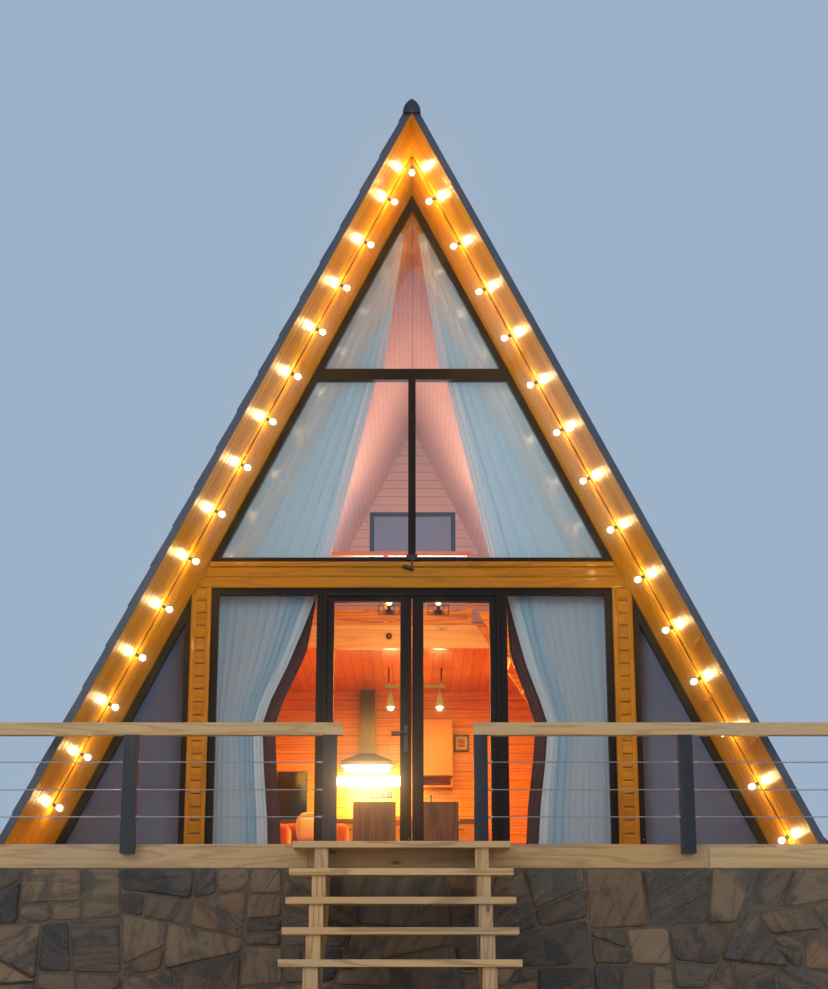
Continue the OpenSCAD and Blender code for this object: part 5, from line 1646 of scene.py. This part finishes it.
    def loft(self):
        """The boards and the knob of the loft beam, and the two caged lamps in front of the loft"""
        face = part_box("loft_floor")[0][1] - 0.0125
        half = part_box("loft_floor")[1][0] - 0.02
        built("loft_beam_board", "beam_board", "lining_pine", [
            soft_block((-half, face, FLOOR_Z + 2.272), (half, face + 0.012, FLOOR_Z + 2.455), 0.003, 2),
            soft_block((-half + 0.11, face + 0.002, FLOOR_Z + 2.458), (half - 0.11, face + 0.012, FLOOR_Z + 2.508),
                       0.003, 2)])
        knob = [(0.028, 0.0), (0.028, 0.006), (0.012, 0.012), (0.011, 0.024), (0.024, 0.036), (0.030, 0.048),
                (0.024, 0.060), (0.010, 0.066)]
        built("beam_knob", "handle", "dark_steel", [turned(knob, (-0.232, face, 3.638), (0, -1, 0), 24)])
        stem = [(0.016, 0.0), (0.016, 0.055), (0.019, 0.060), (0.019, 0.085)]
        bulb = [(0.012, 0.0855), (0.020, 0.095), (0.028, 0.110), (0.031, 0.126), (0.027, 0.143), (0.015, 0.155)]
        cages, bulbs = [], []
        y0, y1, z0, z1 = face - 0.095, face - 0.012, 3.862, 3.948
        for x in (-0.231, 0.261):
            x0, x1 = x - 0.105, x + 0.105
            for z in (z0, z1):
                ring = [(x0, y0, z), (x1, y0, z), (x1, y1, z), (x0, y1, z)]
                cages += [rod([ring[k], ring[(k + 1) % 4]], 0.003, 6) for k in range(4)]
            for k in range(5):
                px = x0 + (x1 - x0) * k / 4
                cages += [rod([(px, y, z0), (px, y, z1)], 0.0025, 6) for y in (y0, y1)]
            cages.append(soft_block((x - 0.04, face - 0.0115, 3.868), (x + 0.04, face - 0.0005, 3.912), 0.003, 2))
            foot = (x, face - 0.054, z0)
            cages.append(turned(stem, foot, UP, 16))
            bulbs.append(turned(bulb, foot, UP, 20))
        built("loft_lamp_cages", "plastic", "black_plastic", cages)
        built("loft_lamp_bulbs", "loft_lamp", "bulb_glass", bulbs)


class CABIN_OT_studio(bpy.types.Operator):
    """Set the floor, the camera, the studio light and the lamps"""
    bl_idname = "cabin.studio"
    bl_label = "Studio"

    def execute(self, context):
        self.floor()
        self.camera(context)
        self.daylight(context)
        self.lamps()
        self.halo(context)
        return {"FINISHED"}

    def floor(self):
        item = new_piece("studio_floor", [(-40, -40, -0.002), (40, -40, -0.002), (40, 40, -0.002), (-40, 40, -0.002)],
                         [[0, 1, 2, 3]])
        item.data.materials.append(painted("studio_floor", (0.62, 0.62, 0.61), 0.7, worn=(0.5, 0.5, 0.49), share=0.1))

    def camera(self, context):
        view = bpy.data.cameras.new("camera")
        view.lens, view.sensor_width, view.clip_end = 65.52, 36.0, 200.0
        eye = in_scene("camera", view)
        eye.location, eye.rotation_euler = (0.018, -15.0, 0.228), (math.radians(105.4), 0.0, 0.0)
        context.scene.camera = eye

    def daylight(self, context):
        world = bpy.data.worlds.new("studio")
        world.use_nodes = True
        sky = world.node_tree.nodes["Background"]
        sky.inputs["Color"].default_value = (0.34, 0.445, 0.585, 1.0)
        sky.inputs["Strength"].default_value = 0.98
        context.scene.world = world
        context.scene.view_settings.view_transform = "Standard"
        for name, place, aim, size, power, colour in (
                ("key", (-9.0, -15.0, 8.0), (0.0, 0.0, 2.5), 9.0, 700.0, (0.95, 0.97, 1.0)),
                ("fill", (11.0, -12.0, 6.0), (0.0, 0.0, 2.5), 9.0, 420.0, (0.95, 0.97, 1.0)),
                ("back", (4.0, 18.0, 12.0), (0.0, 3.0, 3.0), 9.0, 420.0, (0.93, 0.96, 1.0))):
            self.area(name, place, aim, size, power, colour)

    def halo(self, context):
        """The soft halo that a lens shows round a lit bulb"""
        context.scene.use_nodes = True
        tree = context.scene.node_tree
        tree.nodes.clear()
        picture = Value(tree.nodes.new("CompositorNodeRLayers"))
        inputs = {"Image": picture, "Threshold": 1.5, "Strength": 0.30, "Size": 0.28}
        glare = Value(add("CompositorNodeGlare", inputs, glare_type="BLOOM").node)
        tree.links.new(glare.socket, tree.nodes.new("CompositorNodeComposite").inputs["Image"])

    def lamp(self, kind, name, place, power, colour, aim=None, **shape):
        """A lamp that the camera doesn't see, turned to what it aims at"""
        light = bpy.data.lights.new(name, kind)
        for key, value in dict(shape, energy=power, color=colour).items():
            setattr(light, key, value)
        item = in_scene(name, light)
        item.location = place
        if aim:
            item.rotation_euler = (Vector(aim) - Vector(place)).to_track_quat("-Z", "Y").to_euler()
        item.visible_camera = False
        return item

    def area(self, name, place, aim, size, power, colour):
        return self.lamp("AREA", name, place, power, colour, aim, shape="SQUARE", size=size)

    def lamps(self):
        """The light string, the sky light on the pale curtains and the lamps of the rooms"""
        sizes = settings().light
        cool = bpy.data.collections.new("panes and cloth behind them, kept cool")
        for name in COVERS["pane"] + COVERS["upper_pane"] + ("corner_blind_left", "corner_blind_right"):
            cool.objects.link(bpy.data.objects[name])
        for kind, place, aim, power, colour in (
                ("voile_", (0.3, -4.5, FLOOR_Z + 4.2), (-0.9, 0.0, FLOOR_Z + 2.2), 56.0, (0.66, 0.92, 0.86)),
                ("upper_voile_", (0.0, -6.5, FLOOR_Z + 2.2), (0.0, 0.0, FLOOR_Z + 3.2), 172.0, (1.0, 0.98, 0.86))):
            sky_light = self.area("sky_light_on_" + kind + "pair", place, aim, 3.0, power, colour)
            sky_light.light_linking.receiver_collection = bpy.data.collections.new("reached by " + kind + "light")
            for _, name in SIDES:
                cool.objects.link(bpy.data.objects[kind + name])
                sky_light.light_linking.receiver_collection.objects.link(bpy.data.objects[kind + name])
        for member in cool.collection_objects:
            member.light_linking.link_state = "EXCLUDE"
        cad["festoon_bulbs"].light_linking.receiver_collection = cool
        for number, (low, high) in enumerate(solids_of("festoon_bulbs")):
            lamp = self.lamp("POINT", "string_light_%02d" % number, (low + high) / 2, sizes.bulb_power,
                             sizes.bulb_colour, shadow_soft_size=0.030)
            lamp.light_linking.receiver_collection = cool
        room = sizes.room_power
        for name, place, aim, size, power, colour in (
                ("room_light", (0.0, 3.6, 2.25), (0.0, 3.6, -FLOOR_Z), 2.6, 225.0, (1.0, 0.46, 0.06)),
                ("front_room_light", (0.0, 0.9, 2.1), (0.0, 4.4, 1.3), 1.3, 34.0, (1.0, 0.54, 0.14)),
                ("kitchen_light", (-0.5, 5.85, 1.30), (-0.5, 6.35, 1.1), 0.5, 30.0, (1.0, 0.72, 0.30)),
                ("upper_room_light", (0.0, 3.7, 2.75), (0.0, 3.2, 6.0), 1.3, 76.0, (1.0, 0.82, 0.86))):
            lift = Vector((0.0, 0.0, FLOOR_Z))
            self.area(name, Vector(place) + lift, Vector(aim) + lift, size, power * room, colour)
        for x in (-0.24, 0.30):
            self.lamp("POINT", "ceiling_light_%+.1f" % x, (x, 4.70, FLOOR_Z + 1.90), 11.0 * room, (1.0, 0.58, 0.20),
                      shadow_soft_size=0.05)
        self.lamp("SPOT", "loft_light", (0.0, 4.2, FLOOR_Z + 3.35), 26.0 * room, (1.0, 0.62, 0.34),
                  (0.0, 4.2, FLOOR_Z + 6.0), spot_size=math.radians(70.0), spot_blend=0.12, shadow_soft_size=0.04)


OPERATORS = (CABIN_OT_finishes, CABIN_OT_stonework, CABIN_OT_roofing, CABIN_OT_boarding, CABIN_OT_fixings,
             CABIN_OT_door_seals, CABIN_OT_curtains, CABIN_OT_interior, CABIN_OT_studio)


class CABIN_PT_sidebar(bpy.types.Panel):
    """The cabin's sizes, colours and pieces"""
    bl_idname = "CABIN_PT_sidebar"
    bl_label = "A-frame cabin"
    bl_space_type = "VIEW_3D"
    bl_region_type = "UI"
    bl_category = "Cabin"

    def draw(self, context):
        layout = self.layout
        layout.use_property_split = True
        for title in CabinSettings.__annotations__:
            group = getattr(settings(), title)
            box = layout.box()
            box.label(text=title.capitalize())
            for key in group.__annotations__:
                box.prop(group, key)
        column = layout.column(align=True)
        for step in OPERATORS:
            column.operator(step.bl_idname)


CLASSES = (CabinStone, CabinBoards, CabinRoof, CabinCloth, CabinLight, CabinFinish, CabinSettings, *OPERATORS,
           CABIN_PT_sidebar)


def register():
    for cls in CLASSES:
        bpy.utils.register_class(cls)
    bpy.types.Scene.cabin = PointerProperty(type=CabinSettings)


def unregister():
    del bpy.types.Scene.cabin
    for cls in reversed(CLASSES):
        bpy.utils.unregister_class(cls)


def main():
    register()
    for step in OPERATORS:
        getattr(bpy.ops.cabin, step.bl_idname.split(".")[1])()


if __name__ == "__main__":
    main()
